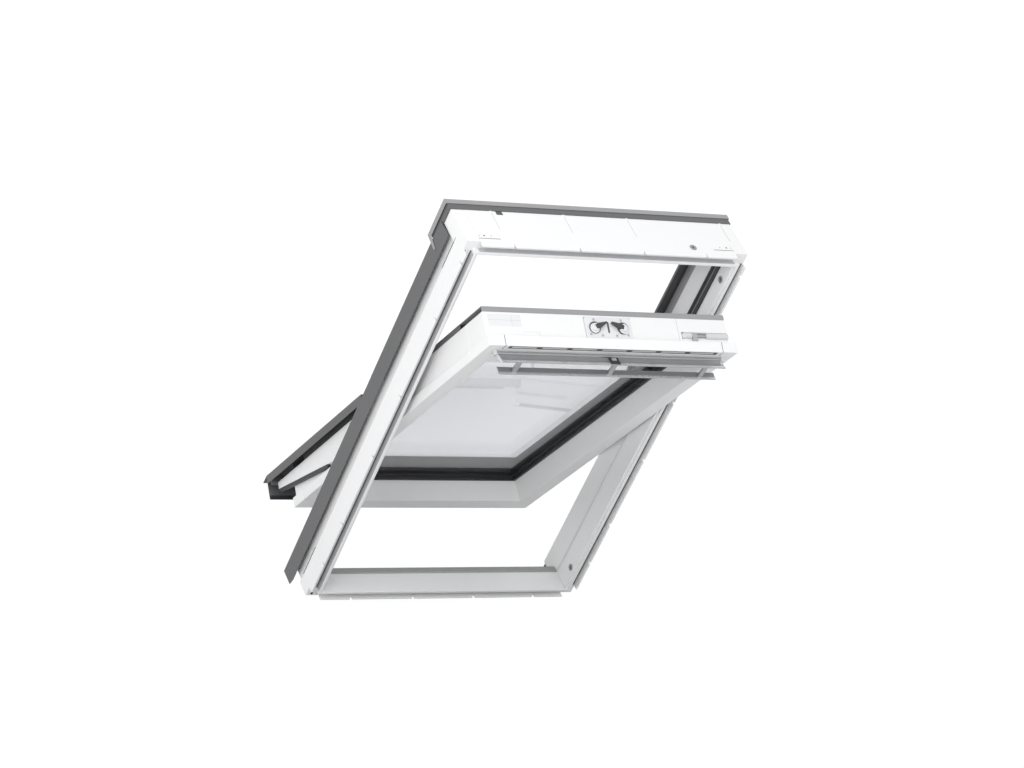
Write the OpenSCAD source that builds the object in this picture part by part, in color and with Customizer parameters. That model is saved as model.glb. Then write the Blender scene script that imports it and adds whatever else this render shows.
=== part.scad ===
// Centre-pivot roof window: a white frame laid in the roof slope, a sash that
// turns about a hinge at half height, aluminium covers outside, and a control
// bar, lock and barrel bolt along the top of the sash.
//
// The pieces are drawn in the plane of the roof: x across the window, y up the
// slope and z towards the room, with z = 0 at the frame's room side. installed()
// then leans them to the roof slope and puts the origin at the sill mount.

/* [Window] */
// Overall width of the frame
frame_w = 780; // [550:10:1340]
// Overall length of the frame along the slope
frame_h = 1178; // [780:10:1800]
// Slope of the roof in degrees
roof_pitch = 45; // [15:5:85]
// Angle the sash stands open at rest, in degrees
opening = 25; // [0:1:120]

/* [Frame] */
// Depth of the frame members, room side to outside
frame_depth = 130; // [110:1:180]
// Thickness of the side members, outer face to reveal
side_wall = 35.6; // [32:0.2:60]
// Thickness of the head and sill members, outer face to reveal
end_wall = 27.9; // [26:0.1:60]
// Depth of the sill member
sill_depth = 86; // [75:1:110]
// Depth of the groove that takes the wall lining
groove_depth = 17; // [8:1:25]
// Thickness of the outer flange beside the groove
flange_t = 4; // [3:0.5:6]
// Thickness of the lip between the groove and the reveal
lip_t = 8; // [5:0.5:10]
// Set-back of the side reveal behind that lip
lip_set = 5.2; // [2:0.2:7]
// Height of the shelf in the head that carries the head seal
shelf_h = 15; // [8:1:18]

/* [Sash] */
// Set-back of the sash's inner face from the room side of the frame
sash_face = 45; // [30:1:60]
// How far the sash stands out beyond the back of the frame
sash_proud = 9; // [5:1:15]
// Gap between the frame's reveal and the lip round the sash
lip_gap = 10.4; // [8:0.2:16]
// Width of the lip beyond the side of the sash's body
lip_side = 7; // [6.8:0.1:12]
// Height of the lip above the top of the sash's body
lip_top = 20.2; // [14:0.2:26]
// Thickness of the lip
lip_depth = 27; // [18:1:34]
// Clearance of the turning sash inside head and sill
swing_clear = 4.9; // [3:0.1:12]
// Width of the side members seen from the room
side_sight = 44; // [36:1:70]
// Width of the bottom member seen from the room
bottom_sight = 54; // [40:1:90]
// Width of the top member seen from the room
top_sight = 100; // [95:1:140]
// Inward lean of the reveal round the glass
splay = 17; // [6:1:22]

/* [Glazing] */
// Thickness of each pane
pane_t = 4; // [3:0.5:6]
// Gap between the panes
pane_gap = 16; // [10:1:16]

/* [Hinge] */
// Distance of the pivot behind the back of the frame
pivot_out = 43; // [36:1:60]
// Radius of the hinge pin
pin_r = 5; // [4:0.5:7]
// Radial clearance of the pin in the sash plate
pin_clear = 0.05; // [0.02:0.01:0.08]

/* [Bolt] */
// Radius of the barrel bolt
bolt_r = 5; // [4:0.5:6]
// Travel of the barrel bolt
bolt_throw = 28; // [24:1:30]

/* [Hidden] */
$fn = 48;

seat = 0.3;        // gap of a soft or running face at rest
sheet = 1.6;       // thickness of the aluminium covers
cut = 1;           // overrun of a cutting shape

// Frame
hw = frame_w / 2;
hh = frame_h / 2;
rw = hw - side_wall;             // half width of the reveal
rt = hh - end_wall;              // half length of the reveal
back_n = -frame_depth;
groove_n = -groove_depth;
lip_in = rw + lip_set;
lip_out = lip_in + lip_t;
end_lip_out = rt + lip_t;
flange_s = hw - flange_t;
flange_e = hh - flange_t;
lip_step_n = -6;
shelf_n = -sash_face - lip_depth - 8;
mount_n = -45;                   // depth of the sill mount and the origin
tuck_n = -62;                    // room side of the flashing recess
tuck_d = 8;
tuck_t = hh - 45;                // upper end of the recess
notch_w = 9;
notch_slit = 3;
side_notches = [0.90, 0.605, 0.183, -0.155, -0.547, -0.788];
end_notch_pitch = 178;

// Seals in the frame
seal_lip = 4.4;
seal_n0 = -sash_face - lip_depth - 1;
seal_n1 = 1 - sash_face;
ridge_lip = 2.4;
ridge_n0 = -67;
ridge_n1 = -60;

// Outside covers
cover_s = hw + 5;                // outer face of the side covers
cover_n = back_n - 33;           // outer face of the upper covers
skirt_n = back_n + 42;           // lower edge of the side skirts
low_cover_n = back_n - 10;
hinge_gap = 50;                  // half length kept free at the hinge
casing_t = hh + 3;               // top edge of the top casing
casing_low = hh - 102;           // lower edge of the top casing
casing_skirt = 15;
bevel_s = 19;                    // bevel along the outer edge of the upper covers
bevel_n = 23;
overhang = 38;                   // covers past the end of the sill
apron_s = rw - 14;               // half width of the sill cover's apron
lap = 23.4;                      // upper cover past the reveal, over the sash

// Sash, drawn closed
pivot_n = back_n - pivot_out;
face_n = -sash_face;
lip_n = face_n - lip_depth;
body_n = back_n - sash_proud;
clad_h = 13;
clad_n = body_n - clad_h;
lw = rw - lip_gap;               // half width over the lip
bw = lw - lip_side;              // half width of the body
lt = sqrt(pow(rt - swing_clear, 2) - pow(face_n - pivot_n, 2));
bt = lt - lip_top;               // top of the body
sight_s = lw - side_sight;
sight_t = lt - top_sight;
sight_b = -lt + bottom_sight;
reveal_n = face_n - 51;          // depth of the reveal round the glass
stop_n = reveal_n - 8;
rebate = 14;                     // width of the glazing rebate behind the stop
glass_n = stop_n - 8;            // room side of the glass
outer_n = glass_n - 2 * pane_t - pane_gap;
stop_s = sight_s - splay;
stop_t = sight_t - splay;
stop_b = sight_b + splay;
bed = 2;                         // gap round the edge of the panes
pane_s = stop_s + rebate - bed;  // half width of the panes
pane_t1 = stop_t + rebate - bed;
pane_t0 = stop_b - rebate + bed;
cover_mid = lw - 43;             // half length of the lip cover
lip_skin = 6;                    // thickness of its room side
wide_s = rw + 10.6;              // half width of the lower cladding
wing_s = rw - 8.4;               // half width over the lower wings
wing_t = -hinge_gap - 10;
wide_n = clad_n - 13;            // outside of the cladding below the hinge
drip_t = -lt - 110;              // lower edge of the bottom cladding
apron_t = drip_t + 23;
apron_n = back_n + 31;
clad_lap = 11;                   // cladding past the stops, over the glass
clad_top_t = stop_t - clad_lap;
clad_low_t = stop_b + clad_lap;
clad_leg = outer_n - seat;       // the claddings' inner legs reach the glass
wing_low = 19;                   // height of the wings at their lower end
wing_low_t = drip_t + 45;
wing_slope = (face_n - body_n - wing_low) / (wing_t - wing_low_t);
seal_h = 9;                      // height of the seal on the wing

// Hinge
plate_t = 6;
plate_half = 38;
tongue_r = 14;
frame_plate_s = rw - plate_t - 0.4;
pin_end_s = bw + 0.6;

// Lock
claw_s = 38.5;
claw_n = body_n + 33;
claw_r = 15;
plate_w = 64;
plate_n0 = body_n + 6;
plate_n1 = lip_n - 7;
plate_h = 2;
case_d = 30;
hub_r = 6;
post_r = 5;
claw_reach = 34;
case_s = plate_w - 4;

// Air slots along the lip
vent_s = cover_mid - 12;
vent_n = 7;
vent_pitch = 82;
vent_w = 68;

// Bolt: its three sockets lie on one circle about the hinge
bolt_t = bt - 4;
bolt_n = lip_n - 23;
bolt_circle = sqrt(pow(bolt_t, 2) + pow(bolt_n - pivot_n, 2));
socket_n = -23;
socket_t = sqrt(pow(bolt_circle, 2) - pow(socket_n - pivot_n, 2));
housing_r = 9;
bolt_end_s = bw - 1.5;
bolt_start_s = bolt_end_s - 110;
knob_s = bolt_end_s - 102.5;
bush_r = 7.5;
bush_l = 14;

// Control bar
bar_t = bt - 14;
bar_n = face_n + 5;
bar_half = lw - 36;
knuckle_r = 4;
bar_pin_r = 2.5;
bar_pin_l = 8;
flap_l = 34;                     // width of the flap, knuckle to lip
flap_lean = 60;                  // lean of the flap out of the sash's plane
flap_t = 2.2;
flap_sag = 5;
flap_lip = 8;
blade_t0 = bar_t - 25;
blade_n0 = bar_n + 24;
blade_l = 20.6;
blade_lean = 76;
blade_h = 3;
blade_half = bar_half - 7;
post_w = 12;
post_at = [-(bar_half - 48), 0, bar_half - 53];

// Plug and clip in the head
plug_s = 239 / 390 * hw;
plug_n = -33;
plug_r = 9;
plug_l = 8;
clip_s = -rw + 84;               // left side of the casing's spring clip
clip_w = 17;
clip_h = 12;
clip_d = 1.4;

// Leans the roof plane to its slope and puts the origin at the sill mount.
module installed() {
    rotate([180 - roof_pitch, 0, 0]) translate([0, hh, -mount_n]) children();
}

// Turns the closed sash to its opening angle.
module on_sash() {
    installed() translate([0, 0, pivot_n]) rotate([opening, 0, 0])
        translate([0, 0, -pivot_n]) children();
}

// A block between two corners.
module block(s0, s1, t0, t1, n0, n1) {
    translate([s0, t0, n0]) cube([s1 - s0, t1 - t0, n1 - n0]);
}

// A profile in (s, n), run up the slope from t0 to t1.
module run_up(t0, t1, points) {
    translate([0, t1, 0]) rotate([90, 0, 0]) linear_extrude(t1 - t0) polygon(points);
}

// A profile in (t, n), run across the window from s0 to s1.
module run_across(s0, s1, points) {
    translate([s0, 0, 0]) rotate([90, 0, 90]) linear_extrude(s1 - s0) polygon(points);
}

// A round bar across the window.
module bar_across(s0, s1, t, n, r) {
    translate([s0, t, n]) rotate([0, 90, 0]) cylinder(r = r, h = s1 - s0);
}

// A round bar up the slope.
module bar_up(t0, t1, s, n, r) {
    translate([s, t1, n]) rotate([90, 0, 0]) cylinder(r = r, h = t1 - t0);
}

// A round bar towards the room.
module bar_in(n0, n1, s, t, r) {
    translate([s, t, n0]) cylinder(r = r, h = n1 - n0);
}

module left_half() {
    mirror([1, 0, 0]) children();
}

module both_sides() {
    children();
    mirror([1, 0, 0]) children();
}

// Tapered notch through a flange at x = 0, open at z = 0, cutting along y.
module notch() {
    rotate([90, 0, 0]) linear_extrude(3 * flange_t, center = true)
        polygon([[-notch_w / 2, cut], [notch_w / 2, cut], [notch_slit / 2, -6],
                 [notch_slit / 2, -11], [-notch_slit / 2, -11], [-notch_slit / 2, -6]]);
}

// Bolt sockets in the right-hand reveal: closed, ajar and turned for cleaning.
module at_sockets() {
    translate([rw, bolt_t, bolt_n]) children();
    translate([rw, socket_t, socket_n]) children();
    translate([rw, -socket_t, socket_n]) children();
}

// Right-hand side member; the left one is its mirror image without the sockets.
module frame_side() {
    difference() {
        union() {
            run_up(-rt, rt, [[hw, 0], [flange_s, 0], [flange_s, groove_n],
                [lip_out, groove_n], [lip_out, 0], [lip_in, 0], [lip_in, lip_step_n],
                [rw, lip_step_n], [rw, back_n], [hw, back_n]]);
            for (end = [-1, 1])
                scale([1, end, 1]) {
                    block(rw, hw, rt, hh, back_n, groove_n);
                    block(rw, lip_out, rt, end_lip_out, groove_n, 0);
                }
        }
        // recess that the flashing tucks into, below the top casing
        run_up(-hh - cut, tuck_t, [[hw + cut, tuck_n], [hw, tuck_n],
            [hw - tuck_d, tuck_n - 12], [hw - tuck_d, back_n - cut], [hw + cut, back_n - cut]]);
        for (share = side_notches)
            translate([hw - flange_t / 2, share * hh, 0]) rotate([0, 0, 90]) notch();
    }
}

module frame_right() {
    color("white") installed() difference() {
        frame_side();
        at_sockets() rotate([0, 90, 0]) translate([0, 0, -cut])
            cylinder(r = bush_r + 0.1, h = bush_l + cut + seat);
    }
}

module frame_left() {
    color("white") installed() left_half() frame_side();
}

module frame_top() {
    color("white") installed() difference() {
        run_across(-rw, rw, [[hh, 0], [flange_e, 0], [flange_e, groove_n],
            [end_lip_out, groove_n], [end_lip_out, 0], [rt, 0], [rt, shelf_n],
            [rt - shelf_h, shelf_n], [rt - shelf_h, back_n], [hh, back_n]]);
        for (i = [-1.5:1:1.5])
            translate([i * end_notch_pitch, hh - flange_t / 2, 0]) notch();
        bar_up(hh - plug_l, hh + cut, plug_s, plug_n, plug_r + 0.1);
        block(clip_s - 0.2, clip_s + clip_w + 0.2, hh - clip_d, hh + cut, back_n - cut,
            back_n + clip_h + 0.2);
    }
}

module frame_bottom() {
    color("white") installed() difference() {
        run_across(-rw, rw, [[-hh, 0], [-flange_e, 0], [-flange_e, groove_n],
            [-end_lip_out, groove_n], [-end_lip_out, 0], [-rt, 0], [-rt, tuck_n],
            [-rt - 3, -sill_depth], [-hh, -sill_depth]]);
        for (i = [-1.5:1:1.5])
            translate([i * end_notch_pitch, -hh + flange_t / 2, 0]) notch();
    }
}

module corner_screws() {
    color("dimgray") installed() both_sides()
        bar_in(groove_n, groove_n + 2, hw - 14, -hh + 9, 3.4);
}

// Seals in the side reveals; the upper pair closes on the lip of the sash.
module upper_side_seals() {
    color("darkslategray") installed() both_sides()
        run_up(hinge_gap, rt - 0.1, [[rw, seal_n1], [rw - seal_lip, seal_n1 - 4],
            [rw - 1.6, seal_n1 - 10], [rw - 1.6, seal_n0 + 9],
            [rw - seal_lip, seal_n0 + 3], [rw, seal_n0]]);
}

module lower_side_seals() {
    color("gray") installed() both_sides()
        run_up(-rt + 3, -hinge_gap, [[rw, ridge_n1], [rw - ridge_lip, ridge_n1 - 2],
            [rw - ridge_lip, ridge_n0 + 2], [rw, ridge_n0]]);
}

module head_seal() {
    color("darkslategray") installed()
        run_across(-rw + seal_lip + 0.1, rw - seal_lip - 0.1, [[rt, shelf_n],
            [rt, lip_n - seat], [lt - 3, lip_n - seat],
            [lt - 9, lip_n - 4], [rt - shelf_h, shelf_n]]);
}

module sill_seal() {
    color("gray") installed()
        run_across(-rw, rw, [[-rt - 0.2, tuck_n - 2], [-rt + 2.5, tuck_n - 6],
            [-rt + 2, -sill_depth + 3], [-rt - 3, -sill_depth]]);
}

// Rails outside the frame that carry the side covers.
module upper_rails() {
    color("gray") installed() both_sides()
        run_up(hinge_gap, hh, [[rw, back_n], [rw + 16, back_n], [rw + 16, cover_n + sheet],
            [rw + 8, cover_n + sheet], [rw + 8, back_n - 25], [rw, back_n - 25]]);
}

module lower_rails() {
    color("gray") installed() both_sides()
        run_up(-hh, -hinge_gap, [[wide_s + 5, back_n], [wide_s + 15, back_n],
            [wide_s + 15, low_cover_n + sheet], [wide_s + 5, low_cover_n + sheet]]);
}

module upper_cover() {
    run_up(hinge_gap, casing_low, [[cover_s, skirt_n], [cover_s, cover_n + bevel_n],
        [cover_s - bevel_s, cover_n], [rw - lap, cover_n], [rw - lap, cover_n + 7],
        [rw - lap + sheet, cover_n + 7], [rw - lap + sheet, cover_n + sheet],
        [cover_s - bevel_s - 0.7, cover_n + sheet],
        [cover_s - sheet, cover_n + bevel_n + 0.7], [cover_s - sheet, skirt_n]]);
    // the skirt runs on under the casing
    block(cover_s - sheet, cover_s, casing_low - cut, tuck_t, cover_n + bevel_n + 1,
        skirt_n);
}

module upper_cover_left() {
    color("dimgray") installed() left_half() upper_cover();
}

module upper_cover_right() {
    color("dimgray") installed() upper_cover();
}

// Lower side cover; its far end is cut at a slant past the sill.
module lower_cover() {
    difference() {
        run_up(-hh - overhang, hinge_gap, [[cover_s, skirt_n], [cover_s, low_cover_n],
            [wide_s + 4, low_cover_n], [wide_s + 4, low_cover_n + sheet],
            [cover_s - sheet, low_cover_n + sheet], [cover_s - sheet, skirt_n]]);
        run_across(wide_s, cover_s + cut, [[-hh - overhang - cut, skirt_n + cut],
            [-hh - overhang + 26, skirt_n + cut], [-hh - overhang - cut, skirt_n - 6]]);
        block(wide_s, cover_s - sheet, -hinge_gap, hinge_gap + cut, low_cover_n - cut,
            low_cover_n + sheet + cut);
    }
}

module lower_cover_left() {
    color("dimgray") installed() left_half() lower_cover();
}

module lower_cover_right() {
    color("dimgray") installed() lower_cover();
}

module casing_base() {
    color("dimgray") installed() {
        difference() {
            union() {
                block(-cover_s + 2, cover_s - 2, hh - 19, hh + 1.4, cover_n + sheet, back_n);
                both_sides() block(rw + 17, cover_s - 2, casing_low + 0.2, hh - 18,
                    cover_n + sheet, back_n);
            }
            both_sides() block(rw - 0.2, rw + 16.2, hh - 20, hh + 0.2, back_n - 40, back_n + cut);
        }
    }
}

// Folded cover over the head, with a short skirt on three sides.
module top_casing() {
    side_s = cover_s + sheet;
    color("silver") installed() {
        block(-side_s, side_s, casing_low, casing_t, cover_n, cover_n + sheet);
        block(-side_s, side_s, casing_t - sheet, casing_t, cover_n, cover_n + casing_skirt);
        both_sides() {
            block(cover_s, side_s, casing_low, casing_t, cover_n, cover_n + casing_skirt);
            run_across(cover_s, side_s, [[casing_low + 6, cover_n], [casing_low - 6, cover_n + 50],
                [casing_low - 12, cover_n + 50], [casing_low - 7, cover_n]]);
        }
    }
}

// Spring clip that holds the casing to the head.
module casing_clip() {
    color("dimgray") installed()
        block(clip_s, clip_s + clip_w, hh - clip_d, hh - 0.1, back_n, back_n + clip_h);
}

module head_plug() {
    color("gray") installed() difference() {
        bar_up(hh - plug_l, hh - 0.2, plug_s, plug_n, plug_r);
        bar_up(hh - 1.5, hh + cut, plug_s, plug_n, plug_r - 3.5);
    }
}

module cover_screws() {
    color("silver") installed() both_sides() for (share = [0.16, 0.48, 0.8])
        bar_in(cover_n - 1.8, cover_n, rw + 12, share * hh, 4);
}

module sill_cover() {
    color("dimgray") installed() {
        block(-rw + 0.2, rw - 0.2, -hh - 0.5, -rt - 6, -sill_depth - sheet, -sill_depth);
        block(-apron_s, apron_s, -hh - overhang, -hh - 0.2, -sill_depth - sheet, -sill_depth);
        block(-apron_s, apron_s, -hh - overhang, -hh - overhang + sheet,
            -sill_depth - sheet - 8, -sill_depth);
    }
}

module striker() {
    shelf_t = rt - shelf_h;
    color("silver") installed() difference() {
        union() {
            block(-50, 50, shelf_t - 2, shelf_t, claw_n - 21, claw_n + 21);
            bar_up(bt + plate_h + 4.3, shelf_t - 1, 0, claw_n, post_r);
        }
        both_sides() bar_up(shelf_t - 3, shelf_t + cut, 36, claw_n, 2.6);
    }
}

module striker_screws() {
    shelf_t = rt - shelf_h;
    color("gray") installed() both_sides()
        bar_up(shelf_t - 3.5, shelf_t - 2, 36, claw_n, 4.6);
}

// Flanged sleeves that take the end of the barrel bolt.
module bolt_bushings() {
    color("gainsboro") installed() at_sockets() rotate([0, 90, 0]) difference() {
        union() {
            cylinder(r = bush_r, h = bush_l);
            translate([0, 0, -0.8]) cylinder(r = bush_r + 2, h = 0.8);
        }
        translate([0, 0, -cut]) cylinder(r = bolt_r + 0.5, h = bush_l - 1);
    }
}

// Plate on the reveal with the hinge pin.
module frame_hinge() {
    difference() {
        union() {
            block(frame_plate_s, rw, -plate_half, plate_half, back_n + 5, back_n + 70);
            block(frame_plate_s, rw, -tongue_r, tongue_r, pivot_n, back_n + 6);
            bar_across(frame_plate_s, rw, 0, pivot_n, tongue_r);
            bar_across(pin_end_s, frame_plate_s + cut, 0, pivot_n, pin_r);
        }
        for (t = [-26, 26], n = [18, 58])
            bar_across(frame_plate_s - cut, rw + cut, t, back_n + n, 2.5);
    }
}

module frame_hinge_left() {
    color("silver") installed() left_half() frame_hinge();
}

module frame_hinge_right() {
    color("silver") installed() frame_hinge();
}

module friction_washers() {
    color("darkslategray") installed() both_sides() difference() {
        bar_across(bw + plate_t + seat, frame_plate_s - seat, 0, pivot_n, tongue_r - 2);
        bar_across(bw, rw, 0, pivot_n, pin_r + pin_clear);
    }
}

module hinge_screws() {
    color("gray") installed() both_sides() for (t = [-26, 26], n = [18, 58])
        bar_across(frame_plate_s - 1.6, frame_plate_s, t, back_n + n, 4.4);
}

// Moulded caps over the outside of the hinges.
module hinge_caps() {
    color("dimgray") installed() both_sides() difference() {
        run_up(-hinge_gap + 4, hinge_gap - 4, [[rw + 14, back_n], [rw + 14, back_n - 30],
            [rw + 9, back_n - 38], [rw + 1, back_n - 38], [rw + 1, back_n]]);
        run_up(-hinge_gap + 7, hinge_gap - 7, [[rw + 11, back_n + cut], [rw + 11, back_n - 29],
            [rw + 8, back_n - 35], [rw + 4, back_n - 35], [rw + 4, back_n + cut]]);
    }
}

// Right-hand side member of the sash, with its glazing rebate, and below the
// hinge a wing that closes the gap to the frame.
module sash_side() {
    run_up(sight_b, sight_t, [[sight_s, face_n], [lw, face_n], [lw, lip_n], [bw, lip_n],
        [bw, body_n], [stop_s + rebate, body_n], [stop_s + rebate, stop_n],
        [stop_s, stop_n], [stop_s, reveal_n]]);
    run_across(bw - 5, wing_s, [[sight_b, body_n], [sight_b, wing_top(sight_b)],
        [wing_t, wing_top(wing_t)], [wing_t, body_n]]);
}

// Top of the wing at a place along the slope.
function wing_top(t) = body_n + wing_low + (t - wing_low_t) * wing_slope;

module sash_left() {
    color("white") on_sash() left_half() sash_side();
}

module sash_right() {
    color("white") on_sash() sash_side();
}

module sash_top() {
    color("white") on_sash() difference() {
        union() {
            run_across(-bw, bw, [[sight_t, face_n], [bt, face_n], [bt, body_n],
                [stop_t + rebate, body_n], [stop_t + rebate, stop_n], [stop_t, stop_n],
                [stop_t, reveal_n]]);
            both_sides() {
                block(bw - cut, lw, sight_t, lt, lip_n, face_n);
                block(cover_mid, lw, bt - cut, lt, lip_n, face_n);
            }
        }
        // the side members run up to this one, so its overhang stops between them
        both_sides() run_up(stop_t - cut, sight_t, [[lw, face_n + cut], [sight_s, face_n + cut],
            [sight_s, face_n], [stop_s, reveal_n], [stop_s, stop_n],
            [stop_s + rebate, stop_n], [stop_s + rebate, body_n - cut], [lw, body_n - cut]]);
        block(-case_s - seat, case_s + seat, bt - case_d - seat, bt + cut,
            plate_n0 + 2 - seat, plate_n1 - 2 + seat);
        bar_across(bolt_start_s - 20, bw + cut, bolt_t, bolt_n, housing_r + seat);
    }
}

module sash_bottom() {
    color("white") on_sash() difference() {
        union() {
            run_across(-bw, bw, [[sight_b, face_n], [-lt, face_n], [-lt, lip_n],
                [-lt + lip_side, lip_n], [-lt + lip_side, body_n], [stop_b - rebate, body_n],
                [stop_b - rebate, stop_n], [stop_b, stop_n], [stop_b, reveal_n]]);
            both_sides() {
                block(bw - cut, lw, -lt, sight_b, lip_n, face_n);
                run_across(bw - 5, wing_s, [[wing_low_t, body_n], [wing_low_t, wing_top(wing_low_t)],
                    [sight_b, wing_top(sight_b)], [sight_b, body_n]]);
            }
        }
        both_sides() run_up(sight_b, stop_b + cut, [[lw, face_n + cut], [sight_s, face_n + cut],
            [sight_s, face_n], [stop_s, reveal_n], [stop_s, stop_n],
            [stop_s + rebate, stop_n], [stop_s + rebate, body_n - cut], [lw, body_n - cut]]);
    }
}

// Removable middle of the lip, over the air passage and the lock.
module lip_cover() {
    color("white") on_sash() difference() {
        block(-cover_mid + 0.4, cover_mid - 0.4, bt, lt, lip_n, face_n);
        block(-cover_mid + 4, cover_mid - 4, bt - cut, lt - 4, lip_n + 4, face_n - lip_skin);
        block(-vent_s, vent_s, bt + 1.5, lt - 3.5, face_n - 4 - seat, face_n + cut);
        block(-vent_s + 6, vent_s - 6, bt + 4, lt - 6, face_n - lip_skin - cut, face_n);
    }
}

module vent_filter() {
    color("gainsboro") on_sash()
        block(-vent_s, vent_s, bt + seat, lt - 5, lip_n + 5, face_n - lip_skin - 1);
}

// Slotted strip set in the room face of the lip cover.
module vent_grille() {
    color("gray") on_sash() difference() {
        block(-vent_s + seat, vent_s - seat, bt + 1.5 + seat, lt - 3.5 - seat, face_n - 4,
            face_n - 0.5);
        for (i = [-(vent_n - 1) / 2:(vent_n - 1) / 2])
            if (abs(i * vent_pitch) + vent_w / 2 < vent_s)
                block(i * vent_pitch - vent_w / 2, i * vent_pitch + vent_w / 2, bt + 5,
                    lt - 7, face_n - 5, face_n + cut);
    }
}

// A rectangular ring round the glass between two depths.
module ring(out, in, n0, n1) {
    difference() {
        block(-pane_s + out, pane_s - out, pane_t0 + out, pane_t1 - out, n0, n1);
        block(-pane_s + in, pane_s - in, pane_t0 + in, pane_t1 - in, n0 - cut, n1 + cut);
    }
}

module inner_pane() {
    color("lightcyan", 0.4) on_sash()
        block(-pane_s, pane_s, pane_t0, pane_t1, glass_n - pane_t, glass_n);
}

module outer_pane() {
    color("lightcyan", 0.4) on_sash()
        block(-pane_s, pane_s, pane_t0, pane_t1, outer_n, outer_n + pane_t);
}

module spacer_bar() {
    color("darkslategray") on_sash() ring(4, 40, outer_n + pane_t, glass_n - pane_t);
}

// Gasket between the stop and the inner pane, with a lip that leans to the glass.
module glazing_gasket() {
    color("black") on_sash() {
        ring(0.5, 26, glass_n, stop_n);
        ring(12.8, 20, stop_n - seat, reveal_n + 1);
    }
}

// Weather seals on the wings, up to where they meet the lip.
module sash_seals() {
    end_t = wing_low_t + (lip_n - seal_h - body_n - wing_low) / wing_slope - 1;
    color("black") on_sash() both_sides()
        run_across(bw + 0.1, wing_s + 1, [[wing_low_t, wing_top(wing_low_t)],
            [end_t, wing_top(end_t)], [end_t, wing_top(end_t) + seal_h],
            [wing_low_t, wing_top(wing_low_t) + seal_h]]);
}

// Side cover of the sash: narrow above the hinge, wide below it.
module sash_cladding() {
    inner = stop_s - clad_lap;
    run_up(clad_low_t, clad_top_t, [[inner, clad_n], [bw, clad_n], [bw, body_n],
        [bw - sheet, body_n], [bw - sheet, clad_n + sheet], [inner + sheet, clad_n + sheet],
        [inner + sheet, clad_leg], [inner, clad_leg]]);
    run_up(clad_low_t, wing_t, [[bw - cut, clad_n], [bw + 2, wide_n], [wide_s, wide_n],
        [wide_s, body_n - 4], [wide_s - sheet, body_n - 4], [wide_s - sheet, wide_n + sheet],
        [bw + 3.4, wide_n + sheet], [bw + 0.6, clad_n + sheet], [bw - cut, clad_n + sheet]]);
}

module sash_cladding_left() {
    color("dimgray") on_sash() left_half() sash_cladding();
}

module sash_cladding_right() {
    color("dimgray") on_sash() sash_cladding();
}

module sash_cladding_top() {
    leg_s = stop_s + rebate - seat;
    color("silver") on_sash() {
        run_across(-bw, bw, [[clad_top_t + 0.2, clad_n], [bt, clad_n], [bt, body_n],
            [bt - sheet, body_n], [bt - sheet, clad_n + sheet],
            [clad_top_t + 0.2, clad_n + sheet]]);
        block(-leg_s, leg_s, clad_top_t + 0.2, clad_top_t + 0.2 + sheet, clad_n, clad_leg);
    }
}

// Bottom cover, bent down along its lower edge, with the apron that laps the sill.
module sash_cladding_bottom() {
    leg_s = stop_s + rebate - seat;
    leg_t = -lt + lip_side;
    color("dimgray") on_sash() {
        run_across(-wide_s, wide_s, [[clad_low_t - 0.2, wide_n], [drip_t + 26, wide_n],
            [drip_t, clad_n - 3], [drip_t, clad_n - 3 + sheet], [apron_t, wide_n + sheet + 2],
            [apron_t, apron_n], [apron_t + sheet, apron_n], [apron_t + sheet, wide_n + sheet],
            [clad_low_t - 0.2, wide_n + sheet]]);
        block(-leg_s, leg_s, clad_low_t - 0.2 - sheet, clad_low_t - 0.2, wide_n, clad_leg);
        block(-bw + 6, bw - 6, leg_t - sheet, leg_t, wide_n, body_n + 10);
        both_sides() {
            block(bw - 4, wide_s, wing_low_t - sheet, wing_low_t, wide_n, body_n + 8);
            block(wide_s - sheet, wide_s, apron_t, clad_low_t - 0.2, wide_n, body_n - 4);
        }
    }
}

module sash_hinge() {
    difference() {
        union() {
            block(bw, bw + plate_t, -plate_half, plate_half, body_n + 4, lip_n - 5);
            block(bw, bw + plate_t, -tongue_r, tongue_r, pivot_n, body_n + 5);
            bar_across(bw, bw + plate_t, 0, pivot_n, tongue_r);
        }
        bar_across(bw - cut, bw + plate_t + cut, 0, pivot_n, pin_r + pin_clear);
    }
}

module sash_hinge_left() {
    color("silver") on_sash() left_half() sash_hinge();
}

module sash_hinge_right() {
    color("silver") on_sash() sash_hinge();
}

// Blank plate at the left end of the top face.
module data_plate() {
    color("gainsboro") on_sash()
        block(-bw + 12, -bw + 100, bt, bt + 0.4, body_n + 6, body_n + 36);
}

module lock_case() {
    color("silver") on_sash() difference() {
        block(-case_s, case_s, bt - case_d, bt - 0.1, plate_n0 + 2, plate_n1 - 2);
        both_sides() bar_up(bt - case_d + 4, bt + cut, claw_s, claw_n, hub_r + 0.05);
        block(-4, 4, bt - case_d + 4, bt + cut, claw_n - 12, claw_n + 20);
    }
}

module lock_plate() {
    round_r = 6;
    color("gainsboro") on_sash() difference() {
        union() {
            block(-plate_w, plate_w, bt, bt + plate_h, plate_n0 + round_r, plate_n1);
            block(-plate_w + round_r, plate_w - round_r, bt, bt + plate_h, plate_n0,
                plate_n0 + round_r + 0.1);
            both_sides() bar_up(bt, bt + plate_h, plate_w - round_r, plate_n0 + round_r, round_r);
        }
        both_sides() bar_up(bt - cut, bt + plate_h + cut, claw_s, claw_n, hub_r + 1);
        block(-2.5, 2.5, bt - cut, bt + plate_h + cut, claw_n - 16, claw_n + 12);
    }
}

module lock_rivets() {
    color("gray") on_sash() both_sides() {
        for (place = [[plate_w - 26, 21.5], [plate_w - 12, -17], [plate_w - 44, -19]])
            bar_up(bt + plate_h, bt + plate_h + 1.2, place[0], claw_n - place[1], 3);
    }
}

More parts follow.
